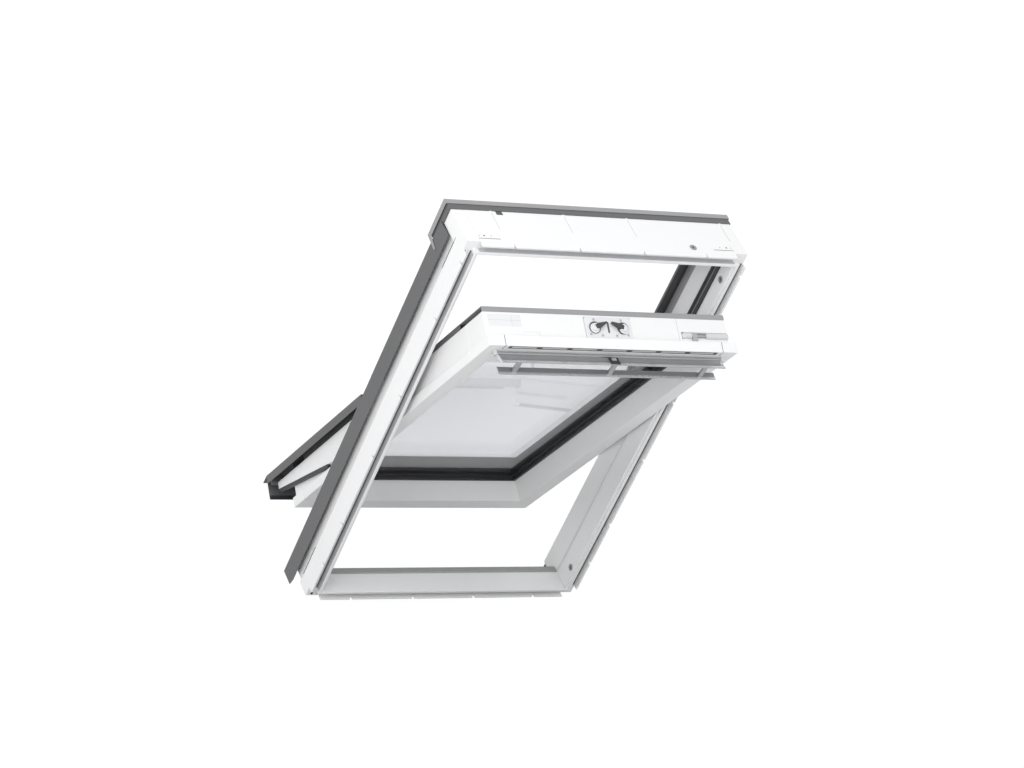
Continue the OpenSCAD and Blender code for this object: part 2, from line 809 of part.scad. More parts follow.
// Ends that carry the pins of the control bar.
module bar_brackets() {
    color("gainsboro") on_sash() both_sides() difference() {
        block(bar_half + 3, bar_half + 12, bar_t - 7, bar_t + 7, face_n, bar_n + 6);
        bar_across(bar_half, bar_half + 13, bar_t, bar_n, bar_pin_r + 0.05);
    }
}

module bolt_housing() {
    color("gainsboro") on_sash() difference() {
        union() {
            bar_across(bolt_start_s - 10, bw - 0.5, bolt_t, bolt_n, housing_r);
            translate([bolt_start_s - 10, bolt_t, bolt_n]) sphere(r = housing_r);
        }
        bar_across(bolt_start_s - 1, bw + cut, bolt_t, bolt_n, bolt_r + 0.05);
        block(knob_s - 0.5, knob_s + 13.5 + bolt_throw, bolt_t + 2, bolt_t + 20,
            bolt_n - 5.5, bolt_n + 20);
    }
}

// A point on the flap: along it from the knuckle, and off it up the slope.
function on_flap(along, off) = [
    bar_t + along * cos(flap_lean) + off * sin(flap_lean),
    bar_n + along * sin(flap_lean) - off * cos(flap_lean)
];

// How far the flap bows at a place along it.
function bow(x) = -4 * flap_sag * (x / (flap_l - flap_lip)) * (1 - x / (flap_l - flap_lip));

// A point on the handle's blade: along it, and off it up the slope.
function on_blade(along, off) = [
    blade_t0 + along * cos(blade_lean) + off * sin(blade_lean),
    blade_n0 + along * sin(blade_lean) - off * cos(blade_lean)
];

module control_flap() {
    bowed = flap_l - flap_lip;
    steps = 8;
    color("darkgray") on_sash() {
        bar_across(-bar_half, bar_half, bar_t, bar_n, knuckle_r);
        bar_across(-bar_half - bar_pin_l - 3, bar_half + bar_pin_l + 3, bar_t, bar_n, bar_pin_r);
        run_across(-bar_half, bar_half, concat(
            [for (i = [0:steps]) on_flap(bowed * i / steps, bow(bowed * i / steps) + flap_t / 2)],
            [on_flap(flap_l, flap_t / 2), on_flap(flap_l, -flap_t / 2)],
            [for (i = [steps:-1:0])
                on_flap(bowed * i / steps, bow(bowed * i / steps) - flap_t / 2)]));
    }
}

module flap_ends() {
    color("gainsboro") on_sash() both_sides()
        run_across(bar_half + 0.1, bar_half + 2.1, [on_flap(6, -flap_sag - 2),
            on_flap(flap_l * 0.7, -flap_sag), on_flap(flap_l, -2), on_flap(flap_l, 1.6),
            on_flap(6, 1.6)]);
}

// Blade that the hand pulls, with the three posts that carry it.
module handle_bar() {
    color("darkgray") on_sash() {
        run_across(-blade_half, blade_half, [on_blade(0, -blade_h / 2), on_blade(0, blade_h / 2),
            on_blade(blade_l, blade_h / 2), on_blade(blade_l, -blade_h / 2)]);
        for (s = post_at)
            run_across(s - post_w / 2, s + post_w / 2, [on_flap(flap_l - 7, -flap_t / 2 - 0.1),
                on_flap(flap_l - 1, -flap_t / 2 - 0.1), on_blade(blade_l - 4, 0),
                on_blade(blade_l - 12, 0)]);
    }
}

// Catch at the middle of the flap.
module bar_latch() {
    color("silver") on_sash()
        run_across(-13, 13, [on_flap(flap_l - 7, flap_t / 2 + 0.1),
            on_flap(flap_l - 1, flap_t / 2 + 0.1), on_flap(flap_l - 1, 4), on_flap(12, 6),
            on_flap(12, 3)]);
}

// Claw of the lock: a hub in the case, a disc and a finger that hooks the post.
module claw() {
    disc_t = bt + plate_h + 0.3;
    bar_up(bt - case_d + 5, disc_t + 1, claw_s, claw_n, hub_r);
    bar_up(disc_t, disc_t + 3.4, claw_s, claw_n, claw_r);
    bar_up(disc_t + 3, disc_t + 8.5, claw_s, claw_n, claw_r - 5);
    translate([claw_s, disc_t + 3, claw_n]) rotate([0, 159, 0])
        block(0, claw_reach, 0, 6, -3, 3);
}

module claw_left() {
    color("silver") on_sash() left_half() claw();
}

module claw_right() {
    color("silver") on_sash() claw();
}

module barrel_bolt() {
    color("darkgray") on_sash() {
        bar_across(bolt_start_s, bolt_end_s, bolt_t, bolt_n, bolt_r);
        block(knob_s, knob_s + 13, bolt_t + 3, bolt_t + 9.5, bolt_n - 4, bolt_n + 4);
        block(knob_s, knob_s + 13, bolt_t + 4.6, bolt_t + 9.5, bolt_n - 4, lip_n - 5);
    }
}

frame_left();
frame_right();
frame_top();
frame_bottom();
corner_screws();
upper_side_seals();
lower_side_seals();
head_seal();
sill_seal();
upper_rails();
lower_rails();
upper_cover_left();
upper_cover_right();
lower_cover_left();
lower_cover_right();
casing_base();
top_casing();
casing_clip();
head_plug();
cover_screws();
sill_cover();
striker();
striker_screws();
bolt_bushings();
frame_hinge_left();
frame_hinge_right();
friction_washers();
hinge_screws();
hinge_caps();
sash_left();
sash_right();
sash_top();
sash_bottom();
lip_cover();
vent_filter();
vent_grille();
inner_pane();
outer_pane();
spacer_bar();
glazing_gasket();
sash_seals();
sash_cladding_left();
sash_cladding_right();
sash_cladding_top();
sash_cladding_bottom();
sash_hinge_left();
sash_hinge_right();
data_plate();
lock_case();
lock_plate();
lock_rivets();
bar_brackets();
bolt_housing();
control_flap();
flap_ends();
handle_bar();
bar_latch();
claw_left();
claw_right();
barrel_bolt();
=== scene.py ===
"""Looks for a centre-pivot roof window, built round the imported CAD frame.

The window is drawn in the plane of the roof, in millimetres: s across, t up the
slope and n towards the room. Two planes are used: the roof's, for what stays on
the frame, and the sash's, drawn as if the sash were closed and then turned open.
"""

import logging
import math
from dataclasses import dataclass
from enum import Enum
from typing import Callable, Iterable, Sequence

import bmesh
import bpy
from mathutils import Matrix, Vector


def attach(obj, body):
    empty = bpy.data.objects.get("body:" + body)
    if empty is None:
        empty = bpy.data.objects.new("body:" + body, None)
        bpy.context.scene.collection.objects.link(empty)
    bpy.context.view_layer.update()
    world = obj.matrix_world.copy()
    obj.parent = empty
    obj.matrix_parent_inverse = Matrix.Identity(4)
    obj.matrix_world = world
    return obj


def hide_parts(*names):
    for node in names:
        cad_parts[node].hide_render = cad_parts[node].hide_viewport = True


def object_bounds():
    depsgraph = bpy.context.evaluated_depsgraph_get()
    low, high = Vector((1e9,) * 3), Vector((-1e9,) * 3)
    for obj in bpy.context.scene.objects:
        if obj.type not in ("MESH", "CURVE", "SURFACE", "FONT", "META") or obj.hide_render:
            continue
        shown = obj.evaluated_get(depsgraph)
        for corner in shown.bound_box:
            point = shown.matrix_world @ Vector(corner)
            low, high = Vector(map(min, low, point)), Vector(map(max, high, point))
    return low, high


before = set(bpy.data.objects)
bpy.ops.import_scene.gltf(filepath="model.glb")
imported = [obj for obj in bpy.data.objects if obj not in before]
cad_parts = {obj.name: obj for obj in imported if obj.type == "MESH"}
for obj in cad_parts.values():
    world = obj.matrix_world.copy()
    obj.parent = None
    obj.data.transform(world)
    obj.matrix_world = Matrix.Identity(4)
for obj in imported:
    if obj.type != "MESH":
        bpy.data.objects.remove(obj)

CAD_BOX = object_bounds()
LOG = logging.getLogger("roof_window")

MM = 0.001
SMOOTH_ANGLE = math.radians(38)
ROUND_ANGLE = math.radians(28)

Point2 = tuple[float, float]
Point3 = tuple[float, float, float]
Colour = tuple[float, float, float]


class Slot(Enum):
    """Material slots of the record that the pieces made here stand for."""

    WHITE = "white_finish"
    DARK = "dark_aluminium"
    LIGHT = "light_aluminium"
    GREY_PLASTIC = "grey_plastic"
    PALE_PLASTIC = "pale_plastic"
    RUBBER = "rubber"
    STEEL = "steel"
    BAR = "bar_aluminium"


class Drive(Enum):
    """Recess in the head of a screw, as its number of points."""

    NONE = 0
    STAR = 6


@dataclass(frozen=True)
class WindowSizes:
    """Sizes of the window in millimetres, as the CAD model has them.

    Attributes:
        half_w: Half the frame's width.
        half_h: Half its height along the slope.
        reveal_s: Face of the side reveals from the middle.
        reveal_t: Face of the head's and the sill's reveals from the middle.
        back_n: Back of the frame.
        mount_n: Plane of the sill's mount.
        groove_n: Bottom of the groove for the wall lining.
        flange_w: Thickness of the flange outside the groove.
        end_lip_w: Thickness of the lip inside it, at the head and the sill.
        pitch: Slope of the roof, degrees.
        opening: How far the sash stands open, degrees.
        pivot_n: Place of the hinge's pin.
        face_n: Room side of the sash.
        lip_n: Back of the sash's lip.
        cover_n: Outer face of the side covers.
        body_s: Half width of the sash's body.
        lip_t: Half height of its lip.
        body_t: Half height of its body.
        hinge_gap: Gap in the covers and seals either side of the hinge.
        claw_s: Place of a claw's shaft across.
        claw_n: Its place towards the room.
    """

    half_w: float = 390.0
    half_h: float = 589.0
    reveal_s: float = 354.4
    reveal_t: float = 561.1
    back_n: float = -130.0
    mount_n: float = -45.0
    groove_n: float = -17.0
    flange_w: float = 4.0
    end_lip_w: float = 8.0
    pitch: float = 45.0
    opening: float = 25.0
    pivot_n: float = -173.0
    face_n: float = -45.0
    lip_n: float = -72.0
    cover_n: float = -163.0
    body_s: float = 337.0
    lip_t: float = 541.3
    body_t: float = 521.1
    hinge_gap: float = 50.0
    claw_s: float = 38.5
    claw_n: float = -106.0


SIZES = WindowSizes()


def roof_plane() -> Matrix:
    """Matrix from roof plane millimetres to the world in metres.

    Returns:
        A 4x4 matrix, with the roof leaning at the pitch and the sill mount at
        the origin.
    """
    lean = Matrix.Rotation(math.radians(180 - SIZES.pitch), 4, "X")
    move = Matrix.Translation((0, SIZES.half_h, -SIZES.mount_n))
    return Matrix.Scale(MM, 4) @ lean @ move


def sash_plane() -> Matrix:
    """Matrix from the closed sash's millimetres to the world, with the sash open.

    Returns:
        A 4x4 matrix.
    """
    out = Matrix.Translation((0, 0, SIZES.pivot_n))
    turn = Matrix.Rotation(math.radians(SIZES.opening), 4, "X")
    return roof_plane() @ out @ turn @ out.inverted()


# ---------------------------------------------------------------- materials


class Nodes:
    """A thin helper that adds and links shader nodes in one tree."""

    def __init__(self, tree: bpy.types.NodeTree) -> None:
        """Keeps the tree.

        Args:
            tree: The node tree to build in.
        """
        self.tree = tree

    def add(self, kind: str, **values: object) -> bpy.types.Node:
        """Adds a node and sets its properties or input sockets by name.

        Args:
            kind: The node's class name.
            **values: Properties of the node, or inputs with _ for a space.

        Returns:
            The new node.
        """
        node = self.tree.nodes.new(kind)
        for key, value in values.items():
            if hasattr(node, key):
                setattr(node, key, value)
            else:
                node.inputs[key.replace("_", " ")].default_value = value
        return node

    def link(self, start: bpy.types.NodeSocket, end: bpy.types.NodeSocket) -> None:
        """Links two sockets."""
        self.tree.links.new(start, end)


def new_group(name: str, inputs: Sequence[tuple[str, str, object]],
              outputs: Sequence[tuple[str, str]]) -> bpy.types.NodeTree:
    """Makes an empty shader node group with its sockets.

    Args:
        name: Name of the group.
        inputs: Name, socket type and default of each input.
        outputs: Name and socket type of each output.

    Returns:
        The group's tree.
    """
    tree = bpy.data.node_groups.new(name, "ShaderNodeTree")
    for label, kind, value in inputs:
        socket = tree.interface.new_socket(name=label, in_out="INPUT", socket_type=kind)
        socket.default_value = value
    for label, kind in outputs:
        tree.interface.new_socket(name=label, in_out="OUTPUT", socket_type=kind)
    return tree


def mottle_group() -> bpy.types.NodeTree:
    """Two scales of noise that vary a colour and a roughness over the surface.

    Returns:
        The group, with outputs Colour and Roughness.
    """
    tree = new_group(
        "mottle",
        [("Colour", "NodeSocketColor", (1, 1, 1, 1)), ("Dirt", "NodeSocketColor", (0, 0, 0, 1)),
         ("Amount", "NodeSocketFloat", 0.1), ("Scale", "NodeSocketFloat", 12.0),
         ("Roughness", "NodeSocketFloat", 0.5), ("Spread", "NodeSocketFloat", 0.1)],
        [("Colour", "NodeSocketColor"), ("Roughness", "NodeSocketFloat")],
    )
    kit = Nodes(tree)
    start, end = kit.add("NodeGroupInput"), kit.add("NodeGroupOutput")
    place = kit.add("ShaderNodeTexCoord")
    broad = kit.add("ShaderNodeTexNoise", Detail=4.0, Roughness=0.6)
    fine = kit.add("ShaderNodeTexNoise", Detail=3.0, Roughness=0.7)
    faster = kit.add("ShaderNodeMath", operation="MULTIPLY")
    faster.inputs[1].default_value = 9.0
    both = kit.add("ShaderNodeMath", operation="MULTIPLY")
    lift = kit.add("ShaderNodeMath", operation="MULTIPLY")
    lift.inputs[1].default_value = 2.6
    share = kit.add("ShaderNodeMath", operation="MULTIPLY", use_clamp=True)
    mix = kit.add("ShaderNodeMix", data_type="RGBA")
    middle = kit.add("ShaderNodeMath", operation="SUBTRACT")
    middle.inputs[1].default_value = 0.5
    swing = kit.add("ShaderNodeMath", operation="MULTIPLY")
    total = kit.add("ShaderNodeMath", operation="ADD")
    for noise in (broad, fine):
        kit.link(place.outputs["Object"], noise.inputs["Vector"])
    kit.link(start.outputs["Scale"], broad.inputs["Scale"])
    kit.link(start.outputs["Scale"], faster.inputs[0])
    kit.link(faster.outputs[0], fine.inputs["Scale"])
    kit.link(broad.outputs["Fac"], both.inputs[0])
    kit.link(fine.outputs["Fac"], both.inputs[1])
    kit.link(both.outputs[0], lift.inputs[0])
    kit.link(lift.outputs[0], share.inputs[0])
    kit.link(start.outputs["Amount"], share.inputs[1])
    kit.link(share.outputs[0], mix.inputs["Factor"])
    kit.link(start.outputs["Colour"], mix.inputs["A"])
    kit.link(start.outputs["Dirt"], mix.inputs["B"])
    kit.link(broad.outputs["Fac"], middle.inputs[0])
    kit.link(middle.outputs[0], swing.inputs[0])
    kit.link(start.outputs["Spread"], swing.inputs[1])
    kit.link(swing.outputs[0], total.inputs[0])
    kit.link(start.outputs["Roughness"], total.inputs[1])
    kit.link(mix.outputs["Result"], end.inputs["Colour"])
    kit.link(total.outputs[0], end.inputs["Roughness"])
    return tree


def grain_group() -> bpy.types.NodeTree:
    """Fine relief: an even moulded grain, or lines drawn out along one axis.

    Returns:
        The group, with a Height output.
    """
    tree = new_group(
        "grain",
        [("Scale", "NodeSocketFloat", 900.0), ("Stretch", "NodeSocketVector", (1, 1, 1))],
        [("Height", "NodeSocketFloat")],
    )
    kit = Nodes(tree)
    start, end = kit.add("NodeGroupInput"), kit.add("NodeGroupOutput")
    place = kit.add("ShaderNodeTexCoord")
    pull = kit.add("ShaderNodeVectorMath", operation="MULTIPLY")
    noise = kit.add("ShaderNodeTexNoise", Detail=2.0, Roughness=0.55)
    kit.link(place.outputs["Object"], pull.inputs[0])
    kit.link(start.outputs["Stretch"], pull.inputs[1])
    kit.link(pull.outputs["Vector"], noise.inputs["Vector"])
    kit.link(start.outputs["Scale"], noise.inputs["Scale"])
    kit.link(noise.outputs["Fac"], end.inputs["Height"])
    return tree


@dataclass(frozen=True)
class Finish:
    """One opaque finish: its colour, how it varies, its gloss and its grain.

    Attributes:
        name: Name of the material.
        colour: Base colour, linear.
        dirt: Colour that it drifts to.
        amount: Share of that drift.
        scale: Scale of the drift, per metre.
        roughness: Mean roughness.
        spread: Spread of the roughness.
        metallic: Metal share.
        grain: Scale of the fine relief.
        relief: Strength of the relief.
        stretch: Axis factors of the relief, small along a brushed direction.
        coat: Weight of a clear coat.
    """

    name: str
    colour: Colour
    dirt: Colour
    amount: float = 0.15
    scale: float = 9.0
    roughness: float = 0.45
    spread: float = 0.12
    metallic: float = 0.0
    grain: float = 900.0
    relief: float = 0.05
    stretch: Point3 = (1.0, 1.0, 1.0)
    coat: float = 0.0

    def make(self, groups: dict[str, bpy.types.NodeTree]) -> bpy.types.Material:
        """Builds the material.

        Args:
            groups: The shared effects by name.

        Returns:
            The material.
        """
        material = bpy.data.materials.new(self.name)
        material.use_nodes = True
        kit = Nodes(material.node_tree)
        shader = material.node_tree.nodes["Principled BSDF"]
        shader.inputs["Metallic"].default_value = self.metallic
        shader.inputs["Coat Weight"].default_value = self.coat
        shader.inputs["Coat Roughness"].default_value = 0.2
        mottle = kit.add("ShaderNodeGroup", node_tree=groups["mottle"])
        mottle.inputs["Colour"].default_value = (*self.colour, 1)
        mottle.inputs["Dirt"].default_value = (*self.dirt, 1)
        mottle.inputs["Amount"].default_value = self.amount
        mottle.inputs["Scale"].default_value = self.scale
        mottle.inputs["Roughness"].default_value = self.roughness
        mottle.inputs["Spread"].default_value = self.spread
        grain = kit.add("ShaderNodeGroup", node_tree=groups["grain"])
        grain.inputs["Scale"].default_value = self.grain
        grain.inputs["Stretch"].default_value = self.stretch
        bump = kit.add("ShaderNodeBump", Strength=self.relief, Distance=0.0004)
        kit.link(mottle.outputs["Colour"], shader.inputs["Base Color"])
        kit.link(mottle.outputs["Roughness"], shader.inputs["Roughness"])
        kit.link(grain.outputs["Height"], bump.inputs["Height"])
        kit.link(bump.outputs["Normal"], shader.inputs["Normal"])
        return material


@dataclass(frozen=True)
class GlassFinish:
    """Clear float glass with a faint cool tint and a trace of film on it."""

    name: str = "float_glass"
    tint: Colour = (0.955, 0.962, 0.978)

    def make(self, groups: dict[str, bpy.types.NodeTree]) -> bpy.types.Material:
        """Builds the material.

        Args:
            groups: The shared effects by name.

        Returns:
            The material.
        """
        material = bpy.data.materials.new(self.name)
        material.use_nodes = True
        kit = Nodes(material.node_tree)
        shader = material.node_tree.nodes["Principled BSDF"]
        shader.inputs["Transmission Weight"].default_value = 1.0
        shader.inputs["IOR"].default_value = 1.46
        mottle = kit.add("ShaderNodeGroup", node_tree=groups["mottle"])
        mottle.inputs["Colour"].default_value = (*self.tint, 1)
        mottle.inputs["Dirt"].default_value = (0.93, 0.94, 0.955, 1)
        mottle.inputs["Amount"].default_value = 0.12
        mottle.inputs["Scale"].default_value = 2.5
        mottle.inputs["Roughness"].default_value = 0.012
        mottle.inputs["Spread"].default_value = 0.02
        kit.link(mottle.outputs["Colour"], shader.inputs["Base Color"])
        kit.link(mottle.outputs["Roughness"], shader.inputs["Roughness"])
        return material


class Palette:
    """Every finish of the window, made once."""

    def __init__(self) -> None:
        """Builds the shared effects and the materials."""
        groups = {"mottle": mottle_group(), "grain": grain_group()}
        across = (0.02, 1.0, 1.0)
        finishes = [
            Finish("moulded_white", (0.86, 0.86, 0.86), (0.79, 0.79, 0.795), 0.2, 5.0, 0.42, 0.14,
                   grain=700.0, relief=0.08, coat=0.12),
            Finish("dark_lacquer", (0.118, 0.118, 0.120), (0.165, 0.165, 0.168), 0.35, 14.0, 0.42,
                   0.16, metallic=0.25, grain=2200.0, relief=0.16),
            Finish("light_lacquer", (0.36, 0.36, 0.365), (0.30, 0.30, 0.305), 0.3, 14.0, 0.4,
                   0.15, metallic=0.3, grain=2200.0, relief=0.14),
            Finish("dark_moulding", (0.075, 0.075, 0.08), (0.12, 0.12, 0.125), 0.4, 22.0, 0.5, 0.2,
                   grain=1600.0, relief=0.2),
            Finish("grey_moulding", (0.34, 0.34, 0.345), (0.27, 0.27, 0.275), 0.3, 18.0, 0.5, 0.18,
                   grain=1500.0, relief=0.16),
            Finish("pale_moulding", (0.66, 0.66, 0.67), (0.58, 0.58, 0.6), 0.25, 18.0, 0.4, 0.15,
                   grain=1500.0, relief=0.12),
            Finish("black_rubber", (0.018, 0.019, 0.022), (0.05, 0.052, 0.057), 0.4, 30.0, 0.42,
                   0.2, grain=1300.0, relief=0.25),
            Finish("grey_rubber", (0.36, 0.37, 0.36), (0.28, 0.29, 0.28), 0.35, 30.0, 0.6, 0.15,
                   grain=1300.0, relief=0.25),
            Finish("zinc_plate", (0.62, 0.63, 0.645), (0.42, 0.43, 0.45), 0.4, 55.0, 0.3, 0.2,
                   metallic=1.0, grain=1500.0, relief=0.12),
            Finish("dark_steel", (0.12, 0.12, 0.125), (0.06, 0.06, 0.065), 0.5, 60.0, 0.35, 0.2,
                   metallic=0.9, grain=1500.0, relief=0.15),
            Finish("bar_anodised", (0.50, 0.51, 0.52), (0.42, 0.43, 0.44), 0.3, 10.0, 0.34, 0.14,
                   metallic=0.85, grain=3200.0, relief=0.3, stretch=across),
            # A lighter copy of the bar's metal: painted highlight on the bar's edges, and the bright
            # metal of the latch lever.
            Finish("bar_highlight_and_bright_metal", (0.80, 0.81, 0.82), (0.7, 0.71, 0.72), 0.25, 10.0, 0.28, 0.12,
                   metallic=0.7, grain=3200.0, relief=0.25, stretch=across),
            Finish("shadow_line", (0.10, 0.10, 0.105), (0.05, 0.05, 0.05), 0.4, 40.0, 0.7, 0.1,
                   grain=900.0, relief=0.1),
            # faint_line also paints the shade on the sides of the lining groove.
            Finish("faint_line", (0.52, 0.52, 0.53), (0.45, 0.45, 0.46), 0.3, 40.0, 0.6, 0.1,
                   grain=900.0, relief=0.1),
            Finish("plate_film", (0.78, 0.79, 0.80), (0.70, 0.71, 0.72), 0.3, 20.0, 0.25, 0.1,
                   grain=1200.0, relief=0.06, coat=0.4),
        ]
        self.made = {finish.name: finish.make(groups) for finish in finishes}
        glass = GlassFinish()
        self.made[glass.name] = glass.make(groups)

    def dress(self, piece: bpy.types.Object, name: str) -> None:
        """Gives a piece one finish all over.

        Args:
            piece: The object to dress.
            name: Name of the finish.
        """
        piece.data.materials.clear()
        piece.data.materials.append(self.made[name])


# ---------------------------------------------------------------- mesh tools


def lean_normals(data: bpy.types.Mesh) -> None:
    """Leans corner normals to the largest faces, so flat faces beside a rounding stay flat.

    Args:
        data: The mesh to change.
    """
    around: dict[int, list[int]] = {}
    for face in data.polygons:
        for vertex in face.vertices:
            around.setdefault(vertex, []).append(face.index)
    facing = [face.normal.copy() for face in data.polygons]
    area = [face.area for face in data.polygons]
    limit = math.cos(SMOOTH_ANGLE * 1.6)
    normals = [Vector((0, 0, 1))] * len(data.loops)
    for face in data.polygons:
        own = facing[face.index]
        for corner in face.loop_indices:
            total = Vector()
            for other in around[data.loops[corner].vertex_index]:
                if own.dot(facing[other]) > limit:
                    total += facing[other] * area[other]
            normals[corner] = total.normalized() if total.length > 0 else own
    data.normals_split_custom_set(normals)


class Bench:
    """Makes pieces in one plane, dresses them and ties them to one body."""

    def __init__(self, palette: Palette, plane: Matrix, body: str) -> None:
        """Keeps what every piece made here shares.

        Args:
            palette: The finishes.
            plane: Matrix from the plane's millimetres to the world.
            body: The CAD body that the pieces ride on.
        """
        self.palette = palette
        self.plane = plane
        self.body = body

    def finish(self, mesh: bmesh.types.BMesh, name: str, finish: str, slot: Slot,
               nodes: Sequence[str] = (), placed: bool = False) -> bpy.types.Object:
        """Turns a bmesh into a finished piece at the origin.

        Args:
            mesh: The shape, freed here.
            name: Name of the piece.
            finish: Name of its finish.
            slot: The record's slot it stands for; not used.
            nodes: CAD nodes that it replaces.
            placed: True if the shape is in the world already.

        Returns:
            The object.
        """
        if not placed:
            bmesh.ops.transform(mesh, matrix=self.plane, verts=mesh.verts)
        bmesh.ops.recalc_face_normals(mesh, faces=mesh.faces)
        for face in mesh.faces:
            face.smooth = True
        for edge in mesh.edges:
            edge.smooth = len(edge.link_faces) == 2 and edge.calc_face_angle(0.0) < SMOOTH_ANGLE
        data = bpy.data.meshes.new(name)
        mesh.to_mesh(data)
        mesh.free()
        lean_normals(data)
        piece = bpy.data.objects.new(name, data)
        bpy.context.scene.collection.objects.link(piece)
        self.palette.dress(piece, finish)
        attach(piece, self.body)
        if nodes:
            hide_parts(*nodes)
        LOG.info("%s: %d faces on %s", name, len(data.polygons), self.body)
        return piece

    def soften(self, node: str, radius: float, finish: str, slot: Slot,
               shortest: float = 4.0) -> bpy.types.Object:
        """Stands a copy of a CAD node in its place, with its long edges rounded.

        Args:
            node: Name of the CAD node.
            radius: Width of the rounding, mm.
            finish: Name of its finish.
            slot: The record's slot.
            shortest: Edges shorter than this stay sharp, mm.

        Returns:
            The new piece.
        """
        mesh = bmesh.new()
        mesh.from_mesh(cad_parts[node].data)
        bmesh.ops.remove_doubles(mesh, verts=mesh.verts, dist=1e-5)
        bmesh.ops.dissolve_limit(mesh, angle_limit=math.radians(0.6), verts=mesh.verts,
                                 edges=mesh.edges)
        edges = [
            edge for edge in mesh.edges
            if len(edge.link_faces) == 2 and edge.is_convex
            and edge.calc_face_angle(0.0) > ROUND_ANGLE and edge.calc_length() > shortest * MM
        ]
        if edges:
            bmesh.ops.bevel(mesh, geom=edges, offset=radius * MM, offset_type="OFFSET",
                            affect="EDGES", segments=2, profile=0.5, material=-1,
                            clamp_overlap=True)
        return self.finish(mesh, node + "_piece", finish, slot, [node], placed=True)

    @staticmethod
    def board(low: Point3, high: Point3, radius: float = 0.0, segments: int = 2) -> bmesh.types.BMesh:
        """A block between two corners, with rounded edges.

        Args:
            low: Lowest corner.
            high: Highest corner.
            radius: Rounding of every edge.
            segments: Faces across the rounding.

        Returns:
            The shape.
        """
        mesh = bmesh.new()
        bmesh.ops.create_cube(mesh, size=1.0)
        size = [b - a for a, b in zip(low, high)]
        middle = [(a + b) / 2 for a, b in zip(low, high)]
        bmesh.ops.scale(mesh, vec=size, verts=mesh.verts)
        bmesh.ops.translate(mesh, vec=middle, verts=mesh.verts)
        if radius:
            bmesh.ops.bevel(mesh, geom=mesh.edges[:], offset=radius, offset_type="OFFSET",
                            affect="EDGES", segments=segments, profile=0.5, material=-1,
                            clamp_overlap=True)
        return mesh

    @staticmethod
    def aim(start: Point3, axis: str) -> Matrix:
        """Matrix that stands what points up the n axis at a place, along an axis.

        Args:
            start: The place.
            axis: "s", "t" or "n", with - before it to run backwards.

        Returns:
            A 4x4 matrix.
        """
        way = {"s": (1, 0, 0), "t": (0, 1, 0), "n": (0, 0, 1)}[axis[-1]]
        sign = -1 if axis.startswith("-") else 1
        turn = Vector((0, 0, 1)).rotation_difference(Vector(way) * sign).to_matrix().to_4x4()
        return Matrix.Translation(start) @ turn

    @staticmethod
    def rod(start: Point3, axis: str, length: float, radius: float, edge: float = 0.0,
            sides: int = 40) -> bmesh.types.BMesh:
        """A round bar with softened rims.

        Args:
            start: Middle of its first end.
            axis: "s", "t" or "n", with - before it to run backwards.
            length: Length along the axis.
            radius: Radius.
            edge: Rounding of the rims.
            sides: Facets round it.

        Returns:
            The shape.
        """
        mesh = bmesh.new()
        bmesh.ops.create_cone(mesh, cap_ends=True, segments=sides, radius1=radius,
                              radius2=radius, depth=length)
        if edge:
            rims = [e for e in mesh.edges if abs(e.verts[0].co.z - e.verts[1].co.z) < 1e-6]
            bmesh.ops.bevel(mesh, geom=rims, offset=edge, offset_type="OFFSET", affect="EDGES",
                            segments=3, profile=0.5, material=-1, clamp_overlap=True)
        bmesh.ops.translate(mesh, vec=(0, 0, length / 2), verts=mesh.verts)
        bmesh.ops.transform(mesh, matrix=Bench.aim(start, axis), verts=mesh.verts)
        return mesh

    @staticmethod
    def strip(profile: Sequence[Point2], start: float, end: float, along: str = "t",
              radius: float = 0.0) -> bmesh.types.BMesh:
        """A profile drawn out straight.

        Args:
            profile: Corners as (s, n) for a strip along t, or (t, n) along s.
            start: Where it starts.
            end: Where it ends.
            along: "t" or "s".
            radius: Rounding of the long edges.

        Returns:
            The shape.
        """
        mesh = bmesh.new()
        if along == "t":
            corners = [mesh.verts.new((a, start, n)) for a, n in profile]
            way = (0, end - start, 0)
        else:
            corners = [mesh.verts.new((start, a, n)) for a, n in profile]
            way = (end - start, 0, 0)
        face = mesh.faces.new(corners)
        made = bmesh.ops.extrude_face_region(mesh, geom=[face])
        moved = [g for g in made["geom"] if isinstance(g, bmesh.types.BMVert)]
        bmesh.ops.translate(mesh, vec=way, verts=moved)
        if len(mesh.faces) == len(profile) + 1:
            bmesh.ops.contextual_create(mesh, geom=[e for e in mesh.edges if e.is_boundary])
        bmesh.ops.recalc_face_normals(mesh, faces=mesh.faces)
        if radius:
            long_edges = [
                e for e in mesh.edges
                if (e.verts[0].co - e.verts[1].co).length > 0.9 * abs(end - start)
                and e.calc_face_angle(0.0) > ROUND_ANGLE
            ]
            bmesh.ops.bevel(mesh, geom=long_edges, offset=radius, offset_type="OFFSET",
                            affect="EDGES", segments=3, profile=0.5, material=-1,
                            clamp_overlap=True)
        return mesh

    @staticmethod
    def screw(start: Point3, axis: str, height: float, radius: float,
              drive: Drive = Drive.STAR) -> bmesh.types.BMesh:
        """A screw head with a rounded rim and a sunk drive.

        Args:
            start: Middle of the seat.
            axis: Direction that the head points.
            height: Height of the head.
            radius: Radius of the head.
            drive: Shape of the recess.

        Returns:
            The shape.
        """
        mesh = Bench.rod((0, 0, 0), "n", height, radius, min(height, radius) * 0.35, 24)
        top = max(mesh.faces, key=lambda f: f.calc_center_median().z)
        if drive is not Drive.NONE:
            bmesh.ops.inset_individual(mesh, faces=[top], thickness=radius * 0.3,
                                       use_even_offset=True)
            if drive is Drive.STAR:
                middle = top.calc_center_median()
                for i, vert in enumerate(top.verts):
                    if i % 4 in (2, 3):
                        vert.co = middle + (vert.co - middle) * 0.62
            bmesh.ops.inset_individual(mesh, faces=[top], thickness=radius * 0.03,
                                       depth=-height * 0.55, use_even_offset=True)
        bmesh.ops.transform(mesh, matrix=Bench.aim(start, axis), verts=mesh.verts)
        return mesh

